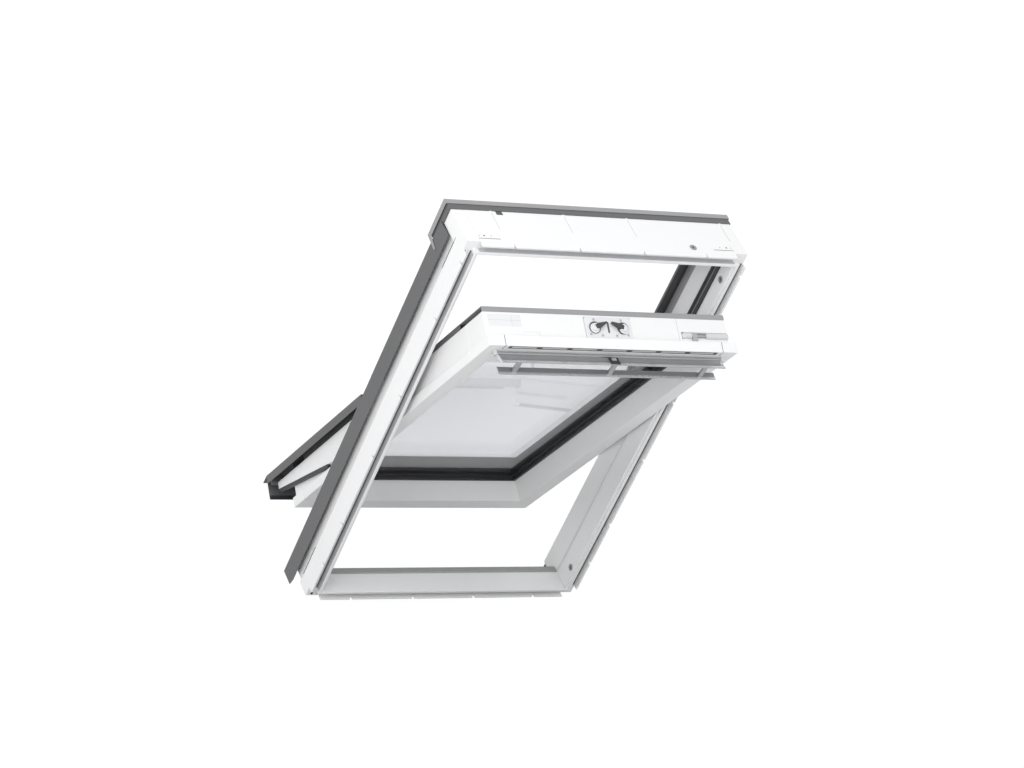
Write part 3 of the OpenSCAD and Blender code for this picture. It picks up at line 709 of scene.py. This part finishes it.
    @staticmethod
    def join(shapes: Iterable[bmesh.types.BMesh]) -> bmesh.types.BMesh:
        """Puts several shapes in one mesh.

        Args:
            shapes: The shapes, freed here.

        Returns:
            One shape.
        """
        whole = bmesh.new()
        for shape in shapes:
            data = bpy.data.meshes.new("joined")
            shape.to_mesh(data)
            shape.free()
            whole.from_mesh(data)
            bpy.data.meshes.remove(data)
        return whole

    @staticmethod
    def mirrored(make: Callable[[], bmesh.types.BMesh]) -> bmesh.types.BMesh:
        """A shape and its mirror image across the window.

        Args:
            make: Makes the right-hand shape.

        Returns:
            Both, in one mesh.
        """
        right, left = make(), make()
        bmesh.ops.scale(left, vec=(-1, 1, 1), verts=left.verts)
        bmesh.ops.reverse_faces(left, faces=left.faces)
        return Bench.join([right, left])


# ---------------------------------------------------------------- the frame


@dataclass
class FixedFrame:
    """The frame's members, with the marks, slots and screws on them.

    Attributes:
        bench: Where its pieces are made.
        rounding: Rounding of the moulded edges, mm.
        line_w: Width of a fine line on a face, mm.
        joint_w: Width of a moulding joint on a face, mm.
        proud: How far such a line stands out, mm.
        sunk: How deep it goes in, mm.
        panels: Places across the head where its panels meet, mm.
        bracket_t: Middle of a side bracket's slot from half height, mm.
        shade_strip_w: Width of a dark strip painted as shade in a corner of the lining groove, mm.
        lip_w: Width across the reveal's lip, from the reveal to the groove, mm.
        plug_s: Place of the head plug across, mm.
        plug_n: Its place towards the room, mm.
    """

    bench: Bench
    rounding: float = 1.6
    line_w: float = 1.7
    joint_w: float = 1.2
    proud: float = 0.12
    sunk: float = 0.5
    panels: tuple[float, ...] = (-284, -85, 92, 360)
    bracket_t: float = 511.0
    shade_strip_w: float = 3.2
    lip_w: float = 13.2
    plug_s: float = 239.0
    plug_n: float = -33.0

    def members(self) -> None:
        """Rounds the edges of the four moulded members."""
        for node in ("frame_left", "frame_right", "frame_top", "frame_bottom"):
            self.bench.soften(node, self.rounding, "moulded_white", Slot.WHITE)

    def head_marks(self) -> None:
        """Bracket slots and holes, joints and buttons on the head's outer face."""
        top = SIZES.half_h
        slots = Bench.mirrored(lambda: Bench.board(
            (296, top - self.sunk, -29), (354, top + self.proud, -29 + self.line_w)))
        self.bench.finish(slots, "head_bracket_slots", "shadow_line", Slot.WHITE)
        panels = [
            Bench.board((s - self.joint_w / 2, top - self.sunk, -132),
                        (s + self.joint_w / 2, top + self.proud, -64))
            for s in self.panels
        ]
        self.bench.finish(Bench.join(panels), "head_panel_lines", "faint_line", Slot.WHITE)
        buttons = [
            Bench.rod((s, top - self.sunk, -127), "t", 1.3, 4.2, 0.5, 24) for s in self.panels
        ]
        self.bench.finish(Bench.join(buttons), "head_buttons", "moulded_white", Slot.WHITE)
        dots = Bench.mirrored(lambda: Bench.join([
            Bench.rod((s, top - 0.4, -38), "t", 0.4 + self.proud, radius, 0, 20)
            for s, radius in ((337, 2.4), (318, 1.3), (350, 1.3))
        ]))
        self.bench.finish(dots, "head_bracket_holes", "shadow_line", Slot.WHITE)

    def side_marks(self) -> None:
        """Bracket slots in the outer faces of the side members."""
        edge, half_l, low = SIZES.half_w, 47, -65

        def slots() -> bmesh.types.BMesh:
            """Both slots of the right-hand side."""
            return Bench.join([
                Bench.board((edge - self.sunk, end * self.bracket_t - half_l, low),
                            (edge + self.proud, end * self.bracket_t + half_l, low + self.line_w))
                for end in (-1, 1)
            ])

        self.bench.finish(Bench.mirrored(slots), "side_bracket_slots", "shadow_line", Slot.WHITE)

    def groove_painted_shade(self) -> None:
        """Painted shade in the groove for the wall lining: dark strips along its bottom corners and grey
        strips on its sides.
        """
        lip, flange = SIZES.reveal_s + self.lip_w, SIZES.half_w - SIZES.flange_w
        end_lip, span = SIZES.reveal_t + SIZES.end_lip_w, SIZES.reveal_t - 1
        half, inset = self.shade_strip_w / 2, self.shade_strip_w / 2 + 0.2
        # Dark strips painted as the shade on the groove's floor, beside both of its walls.
        floors = Bench.mirrored(lambda: Bench.join([
            Bench.board((s - half, -span, SIZES.groove_n - 0.2),
                        (s + half, span, SIZES.groove_n + 0.2))
            for s in (lip + inset, flange - inset)
        ]))
        self.bench.finish(floors, "groove_corner_painted_shade", "shadow_line", Slot.WHITE)
        # Grey strips painted as the shade on the sides of the groove's lip.
        sides = [Bench.board((-SIZES.reveal_s, end_lip - 0.2, SIZES.groove_n + 0.1),
                             (SIZES.reveal_s, end_lip + 0.2, -2.5)),
                 Bench.board((-lip - 0.2, -span, SIZES.groove_n + 0.3),
                             (-lip + 0.2, span, -2.5))]
        self.bench.finish(Bench.join(sides), "groove_side_painted_shade", "faint_line", Slot.WHITE)

    def screws(self) -> None:
        """Screws at the sill's corners."""
        heads = [
            Bench.screw((side * 376, -580, SIZES.groove_n), "n", 2.2, 3.4) for side in (-1, 1)
        ]
        self.bench.finish(Bench.join(heads), "corner_screw_heads", "dark_steel", Slot.STEEL,
                          ["corner_screws"])

    def seals(self) -> None:
        """Side seals with a bright bead between two soft lips."""
        reveal = SIZES.reveal_s
        profile = [
            (reveal, -44), (reveal - 3.2, -44.5), (reveal - 4.4, -48), (reveal - 3.0, -52),
            (reveal - 1.2, -54), (reveal - 1.2, -57), (reveal - 2.2, -58.5), (reveal - 2.2, -60.5),
            (reveal - 1.2, -62), (reveal - 1.2, -64), (reveal - 3.4, -67), (reveal - 4.4, -70),
            (reveal - 3.0, -72.6), (reveal, -73),
        ]
        seals = Bench.mirrored(lambda: Bench.strip(profile, SIZES.hinge_gap, SIZES.reveal_t - 0.1))
        self.bench.finish(seals, "side_seal_lips", "black_rubber", Slot.RUBBER,
                          ["upper_side_seals"])
        bead = [(reveal - 1.3, -56.2), (reveal - 2.9, -56.4), (reveal - 2.9, -57.8),
                (reveal - 1.3, -58)]
        beads = Bench.mirrored(
            lambda: Bench.strip(bead, SIZES.hinge_gap + 0.5, SIZES.reveal_t - 0.6))
        self.bench.finish(beads, "side_seal_beads", "grey_moulding", Slot.GREY_PLASTIC)

    def plug(self) -> None:
        """The round plug in the head."""
        top = SIZES.half_h
        rim = Bench.screw((self.plug_s, top, self.plug_n), "t", 1.4, 9.0, Drive.NONE)
        face = max(rim.faces, key=lambda f: f.calc_center_median().y)
        bmesh.ops.inset_individual(rim, faces=[face], thickness=2.2, use_even_offset=True)
        bmesh.ops.inset_individual(rim, faces=[face], thickness=0.6, depth=-1.2,
                                   use_even_offset=True)
        self.bench.finish(rim, "head_plug_piece", "grey_moulding", Slot.GREY_PLASTIC,
                          ["head_plug"])
        core = Bench.rod((self.plug_s, top + 0.2, self.plug_n), "t", 0.7, 3.0, 0.3, 20)
        self.bench.finish(core, "head_plug_core", "dark_moulding", Slot.GREY_PLASTIC)

    def bushings(self) -> None:
        """Dresses the sleeves of the bolt sockets."""
        self.bench.palette.dress(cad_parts["bolt_bushings"], "grey_moulding")

    def build(self) -> None:
        """Builds the frame."""
        self.members()
        self.head_marks()
        self.side_marks()
        self.groove_painted_shade()
        self.screws()
        self.seals()
        self.plug()
        self.bushings()


@dataclass
class OutsideCovers:
    """The covers outside the frame.

    Attributes:
        bench: Where its pieces are made.
        fold: Rounding of a folded edge, mm.
        screw_in: Screws of the side covers from the reveal, mm.
        screw_at: Their places, as shares of half the height.
    """

    bench: Bench
    fold: float = 0.5
    screw_in: float = 12.0
    screw_at: tuple[float, ...] = (0.16, 0.48, 0.8)

    def sheets(self) -> None:
        """Rounds the folds of every cover."""
        for node in ("upper_cover_left", "upper_cover_right", "lower_cover_left",
                     "lower_cover_right", "sill_cover"):
            self.bench.soften(node, self.fold, "dark_lacquer", Slot.DARK)
        self.bench.soften("top_casing", self.fold, "light_lacquer", Slot.LIGHT)
        self.bench.soften("casing_base", 1.0, "dark_lacquer", Slot.GREY_PLASTIC)
        self.bench.soften("hinge_caps", 1.2, "dark_moulding", Slot.GREY_PLASTIC)
        self.bench.soften("casing_clip", 0.3, "dark_moulding", Slot.GREY_PLASTIC, 2.0)

    def rails(self) -> None:
        """Dresses the rails that carry the covers."""
        self.bench.soften("upper_rails", 0.8, "grey_moulding", Slot.GREY_PLASTIC)
        self.bench.soften("lower_rails", 0.8, "dark_moulding", Slot.GREY_PLASTIC)

    def screws(self) -> None:
        """Screw heads on the upper side covers."""
        heads = [
            Bench.screw((side * (SIZES.reveal_s + self.screw_in), share * SIZES.half_h,
                         SIZES.cover_n), "-n", 1.8, 4.0)
            for side in (-1, 1) for share in self.screw_at
        ]
        self.bench.finish(Bench.join(heads), "cover_screw_heads", "zinc_plate", Slot.STEEL,
                          ["cover_screws"])

    def build(self) -> None:
        """Builds the covers."""
        self.sheets()
        self.rails()
        self.screws()


# ---------------------------------------------------------------- the sash


@dataclass
class Sash:
    """The sash's members, glass and covers.

    Attributes:
        bench: Where its pieces are made.
        rounding: Rounding of the moulded edges, mm.
        fold: Rounding of a folded edge, mm.
        apron_reach: Edge of the bottom cladding, below the lip, mm.
        apron_s: Half width of its seal, mm.
        seam_s: Place of the seam at each end of the lip's cover, mm.
        vent_pitch: Distance between the openings of the air grille, mm.
        vent_half: Half the length of one screen, mm.
    """

    bench: Bench
    rounding: float = 2.0
    fold: float = 0.5
    apron_reach: float = 87.0
    apron_s: float = 364.0
    seam_s: float = 300.4
    vent_pitch: float = 82.0
    vent_half: float = 33.5

    def members(self) -> None:
        """Rounds the edges of the moulded members."""
        for node in ("sash_left", "sash_right", "sash_top", "sash_bottom", "lip_cover"):
            self.bench.soften(node, self.rounding, "moulded_white", Slot.WHITE)

    def glass(self) -> None:
        """Dresses the panes, the spacer and the gasket."""
        palette = self.bench.palette
        for node in ("inner_pane", "outer_pane"):
            palette.dress(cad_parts[node], "float_glass")
        palette.dress(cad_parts["spacer_bar"], "dark_moulding")
        self.bench.soften("glazing_gasket", 0.8, "black_rubber", Slot.RUBBER)
        palette.dress(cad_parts["sash_seals"], "black_rubber")

    def covers(self) -> None:
        """Rounds the folds of the claddings, and seals the edge of the apron."""
        for node in ("sash_cladding_left", "sash_cladding_right", "sash_cladding_bottom"):
            self.bench.soften(node, self.fold, "dark_lacquer", Slot.DARK)
        self.bench.soften("sash_cladding_top", self.fold, "light_lacquer", Slot.LIGHT)
        edge = -SIZES.lip_t - self.apron_reach
        low = Bench.board((-self.apron_s, edge - 0.6, -99.5), (self.apron_s, edge + 2.6, -110))
        self.bench.finish(low, "apron_edge_seal", "black_rubber", Slot.RUBBER)

    def plate(self) -> None:
        """The blank data plate and the fine joints of the face round it."""
        top = SIZES.body_t
        plate = Bench.board((-325, top, -133), (-237, top + 0.4, -103), 0.15, 1)
        self.bench.finish(plate, "data_plate_piece", "plate_film", Slot.PALE_PLASTIC,
                          ["data_plate"])
        lines = []
        for s0, s1, n0, n1 in ((-325, -237, -118.6, -118), (-262, -261.4, -133, -103)):
            lines.append(Bench.board((s0, top + 0.3, n0), (s1, top + 0.5, n1)))
        self.bench.finish(Bench.join(lines), "data_plate_fields", "faint_line",
                          Slot.PALE_PLASTIC)
        rim = []
        for s0, s1, n0, n1 in ((-236, -190, -90.5, -90), (-190.5, -190, -90, -79),
                               (-236, -190, -79.5, -79)):
            rim.append(Bench.board((s0, top - 0.2, n0), (s1, top + 0.1, n1)))
        self.bench.finish(Bench.join(rim), "top_face_recess", "faint_line", Slot.WHITE)
        seams = Bench.mirrored(lambda: Bench.board(
            (self.seam_s, SIZES.body_t, SIZES.lip_n),
            (self.seam_s + 1, SIZES.lip_t + 0.1, SIZES.face_n + 0.1)))
        self.bench.finish(seams, "lip_seams", "shadow_line", Slot.WHITE)
        joints = [Bench.board((196.4, top - 0.2, -138), (197.4, top + 0.1, -75)),
                  Bench.board((-SIZES.body_s, top - 0.2, -74.6), (SIZES.body_s, top + 0.12, -72.2))]
        self.bench.finish(Bench.join(joints), "top_face_joint", "faint_line", Slot.WHITE)

    def vents(self) -> None:
        """Dresses the air grille, its screens and the filter behind it."""
        self.bench.palette.dress(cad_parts["vent_filter"], "pale_moulding")
        self.bench.soften("vent_grille", 0.3, "dark_moulding", Slot.GREY_PLASTIC)
        panes = [
            Bench.board((i * self.vent_pitch - self.vent_half, SIZES.body_t + 5.2, -50.5),
                        (i * self.vent_pitch + self.vent_half, SIZES.lip_t - 7.2, -45.7), 0.3, 1)
            for i in range(-3, 4)
        ]
        self.bench.finish(Bench.join(panes), "vent_screens", "pale_moulding", Slot.PALE_PLASTIC)

    def build(self) -> None:
        """Builds the sash."""
        self.members()
        self.glass()
        self.covers()
        self.plate()
        self.vents()


@dataclass
class Hinges:
    """The pivot hinges at half height.

    Attributes:
        fixed: Bench of the frame.
        moving: Bench of the sash.
        edge: Rounding of the plates' edges, mm.
        plate_in: Face of a plate, inside the reveal, mm.
        screw_t: Its screws above and below the pivot, mm.
        screw_n: Their places from the frame's back, mm.
    """

    fixed: Bench
    moving: Bench
    edge: float = 0.5
    plate_in: float = 6.4
    screw_t: float = 26.0
    screw_n: tuple[float, float] = (18.0, 58.0)

    def build(self) -> None:
        """Builds the plates and the screws."""
        for node in ("frame_hinge_left", "frame_hinge_right"):
            self.fixed.soften(node, self.edge, "zinc_plate", Slot.STEEL)
        for node in ("sash_hinge_left", "sash_hinge_right"):
            self.moving.soften(node, self.edge, "zinc_plate", Slot.STEEL)
        self.fixed.palette.dress(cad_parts["friction_washers"], "black_rubber")
        plate = SIZES.reveal_s - self.plate_in

        def heads() -> bmesh.types.BMesh:
            """The four screws of the right-hand hinge."""
            return Bench.join([
                Bench.screw((plate, t, SIZES.back_n + n), "-s", 1.6, 4.4)
                for t in (-self.screw_t, self.screw_t) for n in self.screw_n
            ])

        self.fixed.finish(Bench.mirrored(heads), "hinge_screw_heads", "dark_steel", Slot.STEEL,
                          ["hinge_screws"])


# ---------------------------------------------------------------- lock and bar


@dataclass
class Lock:
    """The lock at the middle of the sash's top face.

    Attributes:
        sash: Bench of the sash.
        fixed: Bench of the frame.
        left: Bench of the left claw.
        right: Bench of the right claw.
        disc_r: Radius of a claw's dark disc, mm; its rim beside the off-centre bright face is a painted
            shadow.
        face_r: Radius of the bright face on it, mm.
        hub_r: Radius of a claw's hub, mm.
        shaft_r: Radius of its shaft in the case, mm.
        rest_turn: Turn of a claw's finger at rest, degrees.
        rivet_at: Places of the right-hand rivets, as (s, n).
    """

    sash: Bench
    fixed: Bench
    left: Bench
    right: Bench
    disc_r: float = 15.0
    face_r: float = 12.6
    hub_r: float = 9.6
    shaft_r: float = 6.0
    rest_turn: float = 159.0
    rivet_at: tuple[Point2, ...] = ((38, -127.5), (52, -89), (20, -87))

    def plate(self) -> None:
        """The plate with its rivets and the case under it."""
        self.sash.soften("lock_plate", 0.4, "plate_film", Slot.STEEL, 1.0)
        rim = Bench.board((-64.9, SIZES.body_t - 0.3, -133.9), (64.9, SIZES.body_t + 0.9, -78.1),
                          0.8, 2)
        self.sash.finish(rim, "lock_plate_edge", "bar_anodised", Slot.STEEL)
        slot = Bench.board((-2.4, SIZES.body_t + 0.5, -121.8), (2.4, SIZES.body_t + 2.1, -94.2),
                           0.4, 2)
        self.sash.finish(slot, "lock_slot", "shadow_line", Slot.STEEL)
        self.sash.palette.dress(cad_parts["lock_case"], "dark_steel")
        top = SIZES.body_t + 2

        def rivets() -> bmesh.types.BMesh:
            """The three rivets of the right-hand half."""
            return Bench.join([
                Bench.screw((s, top, n), "t", 1.2, 3.0) for s, n in self.rivet_at
            ])

        self.sash.finish(Bench.mirrored(rivets), "lock_rivet_heads", "zinc_plate", Slot.STEEL,
                         ["lock_rivets"])

    def claw(self, side: int) -> None:
        """One claw: a pressed disc with a bright face, a hub and a finger. The face sits off centre, so
        the dark disc's rim shows on one side as a painted shadow.

        Args:
            side: 1 for the right-hand claw, -1 for the left-hand one.
        """
        bench = self.right if side > 0 else self.left
        name = "claw_right" if side > 0 else "claw_left"
        base = SIZES.body_t + 2.3
        centre = (SIZES.claw_s, SIZES.claw_n)
        dark = [Bench.rod((centre[0], SIZES.body_t - 25, centre[1]), "t", 28.3, self.shaft_r),
                Bench.rod((centre[0], base, centre[1]), "t", 3.4, self.disc_r, 0.8, 48)]
        finger = Bench.strip([(0, -6.5), (10, -7.5), (34, -2), (34, 2), (8, 6.5), (0, 5)],
                             base + 3, base + 9, "t", 0.8)
        turn = Matrix.Translation((centre[0], 0, centre[1])) @ Matrix.Rotation(
            math.radians(self.rest_turn), 4, "Y")
        bmesh.ops.transform(finger, matrix=turn, verts=finger.verts)
        dark.append(finger)
        # The bright face is set off the disc's centre, leaving a dark crescent of the disc on one side
        # as painted shadow.
        light = [Bench.rod((centre[0] + 1.6, base + 3.2, centre[1] + 2.2), "t", 0.9, self.face_r,
                           0.4, 48)]
        hub = Bench.rod((centre[0], base + 3, centre[1]), "t", 5.5, self.hub_r, 1.2, 40)
        cap = max(hub.faces, key=lambda f: f.calc_center_median().y)
        bmesh.ops.inset_individual(hub, faces=[cap], thickness=2.6, use_even_offset=True)
        bmesh.ops.inset_individual(hub, faces=[cap], thickness=0.6, depth=-1.2,
                                   use_even_offset=True)
        light.append(hub)
        for shapes, part, finish in ((dark, "_cam", "dark_steel"), (light, "_face", "plate_film")):
            whole = Bench.join(shapes)
            if side < 0:
                bmesh.ops.scale(whole, vec=(-1, 1, 1), verts=whole.verts)
            bench.finish(whole, name + part, finish, Slot.STEEL,
                         [name] if part == "_cam" else [])

    def striker(self) -> None:
        """The post in the head that the claws close round."""
        self.fixed.soften("striker", 0.5, "zinc_plate", Slot.STEEL, 1.0)
        heads = [
            Bench.screw((side * 36, SIZES.reveal_t - 17, SIZES.claw_n), "-t", 1.5, 4.6)
            for side in (-1, 1)
        ]
        self.fixed.finish(Bench.join(heads), "striker_screw_heads", "dark_steel", Slot.STEEL,
                          ["striker_screws"])

    def build(self) -> None:
        """Builds the lock."""
        self.plate()
        self.claw(1)
        self.claw(-1)
        self.striker()


@dataclass
class BarrelBolt:
    """The bolt at the right-hand end of the sash's top face.

    Attributes:
        sash: Bench of the sash.
        moving: Bench of the bolt.
    """

    sash: Bench
    moving: Bench

    def build(self) -> None:
        """Builds the housing, the bolt and a dark board painted as the shade in its slot."""
        self.sash.soften("bolt_housing", 0.3, "pale_moulding", Slot.STEEL, 3.0)
        self.moving.soften("barrel_bolt", 0.5, "bar_anodised", Slot.STEEL, 2.0)
        # A dark board painted as the shade inside the bolt's slot.
        slot_shade = Bench.board((240, SIZES.body_t - 6.6, -99.6), (274, SIZES.body_t - 1.4, -90.4))
        self.sash.finish(slot_shade, "bolt_slot_shadow", "shadow_line", Slot.STEEL)


@dataclass(frozen=True)
class Leaning:
    """A line that leans out of the sash's plane, seen from the side.

    Attributes:
        t: Where it starts, up the slope.
        n: Where it starts, towards the room.
        lean: Its lean in degrees.
    """

    t: float
    n: float
    lean: float

    def at(self, along: float, off: float) -> Point2:
        """A point by its distance along the line and off it.

        Args:
            along: Distance along the line.
            off: Distance off it, up the slope.

        Returns:
            The point as (t, n).
        """
        lean = math.radians(self.lean)
        return (self.t + along * math.cos(lean) + off * math.sin(lean),
                self.n + along * math.sin(lean) - off * math.cos(lean))


FLAP = Leaning(SIZES.body_t - 14, SIZES.face_n + 5, 60)
BLADE = Leaning(SIZES.body_t - 39, SIZES.face_n + 29, 76)


@dataclass
class ControlBar:
    """The bowed flap and the handle along the top of the sash.

    Attributes:
        sash: Bench of the sash.
        moving: Bench of the bar.
    """

    sash: Bench
    moving: Bench

    def build(self) -> None:
        """Builds the bar, its ends, its catch and its bright edges, which are painted highlights."""
        self.sash.soften("bar_brackets", 0.6, "pale_moulding", Slot.PALE_PLASTIC)
        self.moving.soften("control_flap", 0.4, "bar_anodised", Slot.BAR)
        self.moving.soften("handle_bar", 0.7, "bar_anodised", Slot.BAR)
        self.moving.soften("flap_ends", 0.4, "pale_moulding", Slot.PALE_PLASTIC)
        self.moving.soften("bar_latch", 0.5, "dark_steel", Slot.STEEL)
        # The bright strips on the flap's lip and along the handle's blade are painted highlights; the
        # lever is bright metal.
        for line, ends, name, finish, slot in (
                (FLAP, ((26.5, 1.15, -307), (33.6, 1.75, 307)), "flap_lip_painted_highlight", "bar_highlight_and_bright_metal", Slot.BAR),
                (FLAP, ((15, 5.2, -7), (23, 7.2, 5)), "bar_latch_lever", "bar_highlight_and_bright_metal", Slot.STEEL),
                (BLADE, ((14.6, 1.3, -300), (20.3, 1.9, 300)), "blade_painted_highlight", "bar_highlight_and_bright_metal", Slot.BAR)):
            self.moving.finish(self.slab(line, *ends), name, finish, slot)

    @staticmethod
    def slab(line: Leaning, low: Point3, high: Point3) -> bmesh.types.BMesh:
        """A slab laid along a leaning line.

        Args:
            line: The line.
            low: Its lowest corner, as along, off and across.
            high: Its highest corner.

        Returns:
            The shape.
        """
        corners = [line.at(a, o) for a, o in ((low[0], low[1]), (high[0], low[1]),
                                              (high[0], high[1]), (low[0], high[1]))]
        return Bench.strip(corners, low[2], high[2], "s", 0.2)


# ---------------------------------------------------------------- the studio


@dataclass
class Studio:
    """Pale floor, soft lights and the camera.

    Attributes:
        eye: Place of the camera, metres.
        yaw: Its bearing from +Y towards +X, degrees.
        pitch: How far it looks up, degrees.
        lens: Focal length, mm.
        floor_half: Half the floor's side, metres.
        floor_gap: Gap between the floor and the window, metres.
        floor_grey: Albedo of the floor.
        floor_glow: Share of the floor's own white where it is seen.
        sky: Strength of the surround as a light.
    """

    eye: Point3 = (-4.0269, -7.3503, 0.1635)
    yaw: float = 30.03
    pitch: float = 2.45
    lens: float = 113.86
    floor_half: float = 40.0
    floor_gap: float = 0.004
    floor_grey: float = 0.72
    floor_glow: float = 0.96
    sky: float = 0.95

    def camera(self) -> None:
        """Places the camera."""
        data = bpy.data.cameras.new("camera")
        data.lens = self.lens
        data.sensor_width = 36.0
        data.clip_end = 100.0
        camera = bpy.data.objects.new("camera", data)
        camera.location = self.eye
        camera.rotation_euler = (math.radians(90 + self.pitch), 0, -math.radians(self.yaw))
        bpy.context.scene.collection.objects.link(camera)
        bpy.context.scene.camera = camera

    def floor(self) -> None:
        """Lays the floor just under the window."""
        mesh = bmesh.new()
        bmesh.ops.create_grid(mesh, x_segments=1, y_segments=1, size=self.floor_half)
        bmesh.ops.translate(mesh, vec=(0, 0, CAD_BOX[0][2] - self.floor_gap), verts=mesh.verts)
        data = bpy.data.meshes.new("floor")
        mesh.to_mesh(data)
        mesh.free()
        floor = bpy.data.objects.new("floor", data)
        bpy.context.scene.collection.objects.link(floor)
        material = bpy.data.materials.new("floor")
        material.use_nodes = True
        kit = Nodes(material.node_tree)
        shader = material.node_tree.nodes["Principled BSDF"]
        shader.inputs["Base Color"].default_value = (*(self.floor_grey,) * 3, 1)
        shader.inputs["Roughness"].default_value = 0.9
        shader.inputs["Specular IOR Level"].default_value = 0.1
        glow = kit.add("ShaderNodeEmission", Color=(1, 1, 1, 1), Strength=1.02)
        path = kit.add("ShaderNodeLightPath")
        share = kit.add("ShaderNodeMath", operation="MULTIPLY")
        share.inputs[1].default_value = self.floor_glow
        mix = kit.add("ShaderNodeMixShader")
        out = material.node_tree.nodes["Material Output"]
        kit.link(path.outputs["Is Camera Ray"], share.inputs[0])
        kit.link(share.outputs[0], mix.inputs["Fac"])
        kit.link(shader.outputs["BSDF"], mix.inputs[1])
        kit.link(glow.outputs[0], mix.inputs[2])
        kit.link(mix.outputs[0], out.inputs["Surface"])
        data.materials.append(material)

    def world(self) -> None:
        """A white surround, softer as a light than as a backdrop."""
        world = bpy.data.worlds.new("surround")
        world.use_nodes = True
        kit = Nodes(world.node_tree)
        world.node_tree.nodes.clear()
        out = kit.add("ShaderNodeOutputWorld")
        seen = kit.add("ShaderNodeBackground", Color=(1, 1, 1, 1), Strength=1.05)
        light = kit.add("ShaderNodeBackground", Color=(0.985, 0.99, 1, 1), Strength=self.sky)
        path = kit.add("ShaderNodeLightPath")
        mix = kit.add("ShaderNodeMixShader")
        kit.link(path.outputs["Is Camera Ray"], mix.inputs["Fac"])
        kit.link(light.outputs[0], mix.inputs[1])
        kit.link(seen.outputs[0], mix.inputs[2])
        kit.link(mix.outputs[0], out.inputs["Surface"])
        bpy.context.scene.world = world

    @staticmethod
    def lamp(name: str, place: Point3, target: Point3, size: float, power: float) -> None:
        """Adds one soft square light.

        Args:
            name: Its name.
            place: Where it stands.
            target: What it points at.
            size: Side of the square.
            power: Watts.
        """
        data = bpy.data.lights.new(name, "AREA")
        data.shape = "SQUARE"
        data.size = size
        data.energy = power
        lamp = bpy.data.objects.new(name, data)
        lamp.location = place
        way = Vector(target) - Vector(place)
        lamp.rotation_euler = way.to_track_quat("-Z", "Y").to_euler()
        bpy.context.scene.collection.objects.link(lamp)

    def build(self) -> None:
        """Builds the studio."""
        self.camera()
        self.floor()
        self.world()
        self.lamp("key", (-3.4, -3.6, 2.6), (0, -0.3, 0.4), 2.6, 44)
        self.lamp("low", (-0.6, -3.4, 0.25), (0, -0.3, 0.5), 1.6, 12)
        self.lamp("side", (-3.6, -3.4, 0.3), (0.2, -0.4, 0.3), 1.6, 42)
        bpy.context.scene.view_settings.view_transform = "Standard"
        bpy.context.scene.view_settings.look = "None"


def main() -> None:
    """Builds every sub-assembly in order."""
    logging.basicConfig(level=logging.INFO, format="%(message)s")
    palette = Palette()
    roof, open_sash = roof_plane(), sash_plane()
    fixed = Bench(palette, roof, "frame")
    sash = Bench(palette, open_sash, "sash")
    bar = Bench(palette, open_sash, "control_bar")
    left = Bench(palette, open_sash, "claw_left")
    right = Bench(palette, open_sash, "claw_right")
    bolt = Bench(palette, open_sash, "barrel_bolt")
    FixedFrame(fixed).build()
    OutsideCovers(fixed).build()
    Sash(sash).build()
    Hinges(fixed, sash).build()
    Lock(sash, fixed, left, right).build()
    BarrelBolt(sash, bolt).build()
    ControlBar(sash, bar).build()
    leftovers = {
        "lower_side_seals": "pale_moulding", "head_seal": "black_rubber",
        "sill_seal": "grey_rubber",
    }
    for node, finish in leftovers.items():
        palette.dress(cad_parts[node], finish)
    Studio().build()


if __name__ == "__main__":
    main()
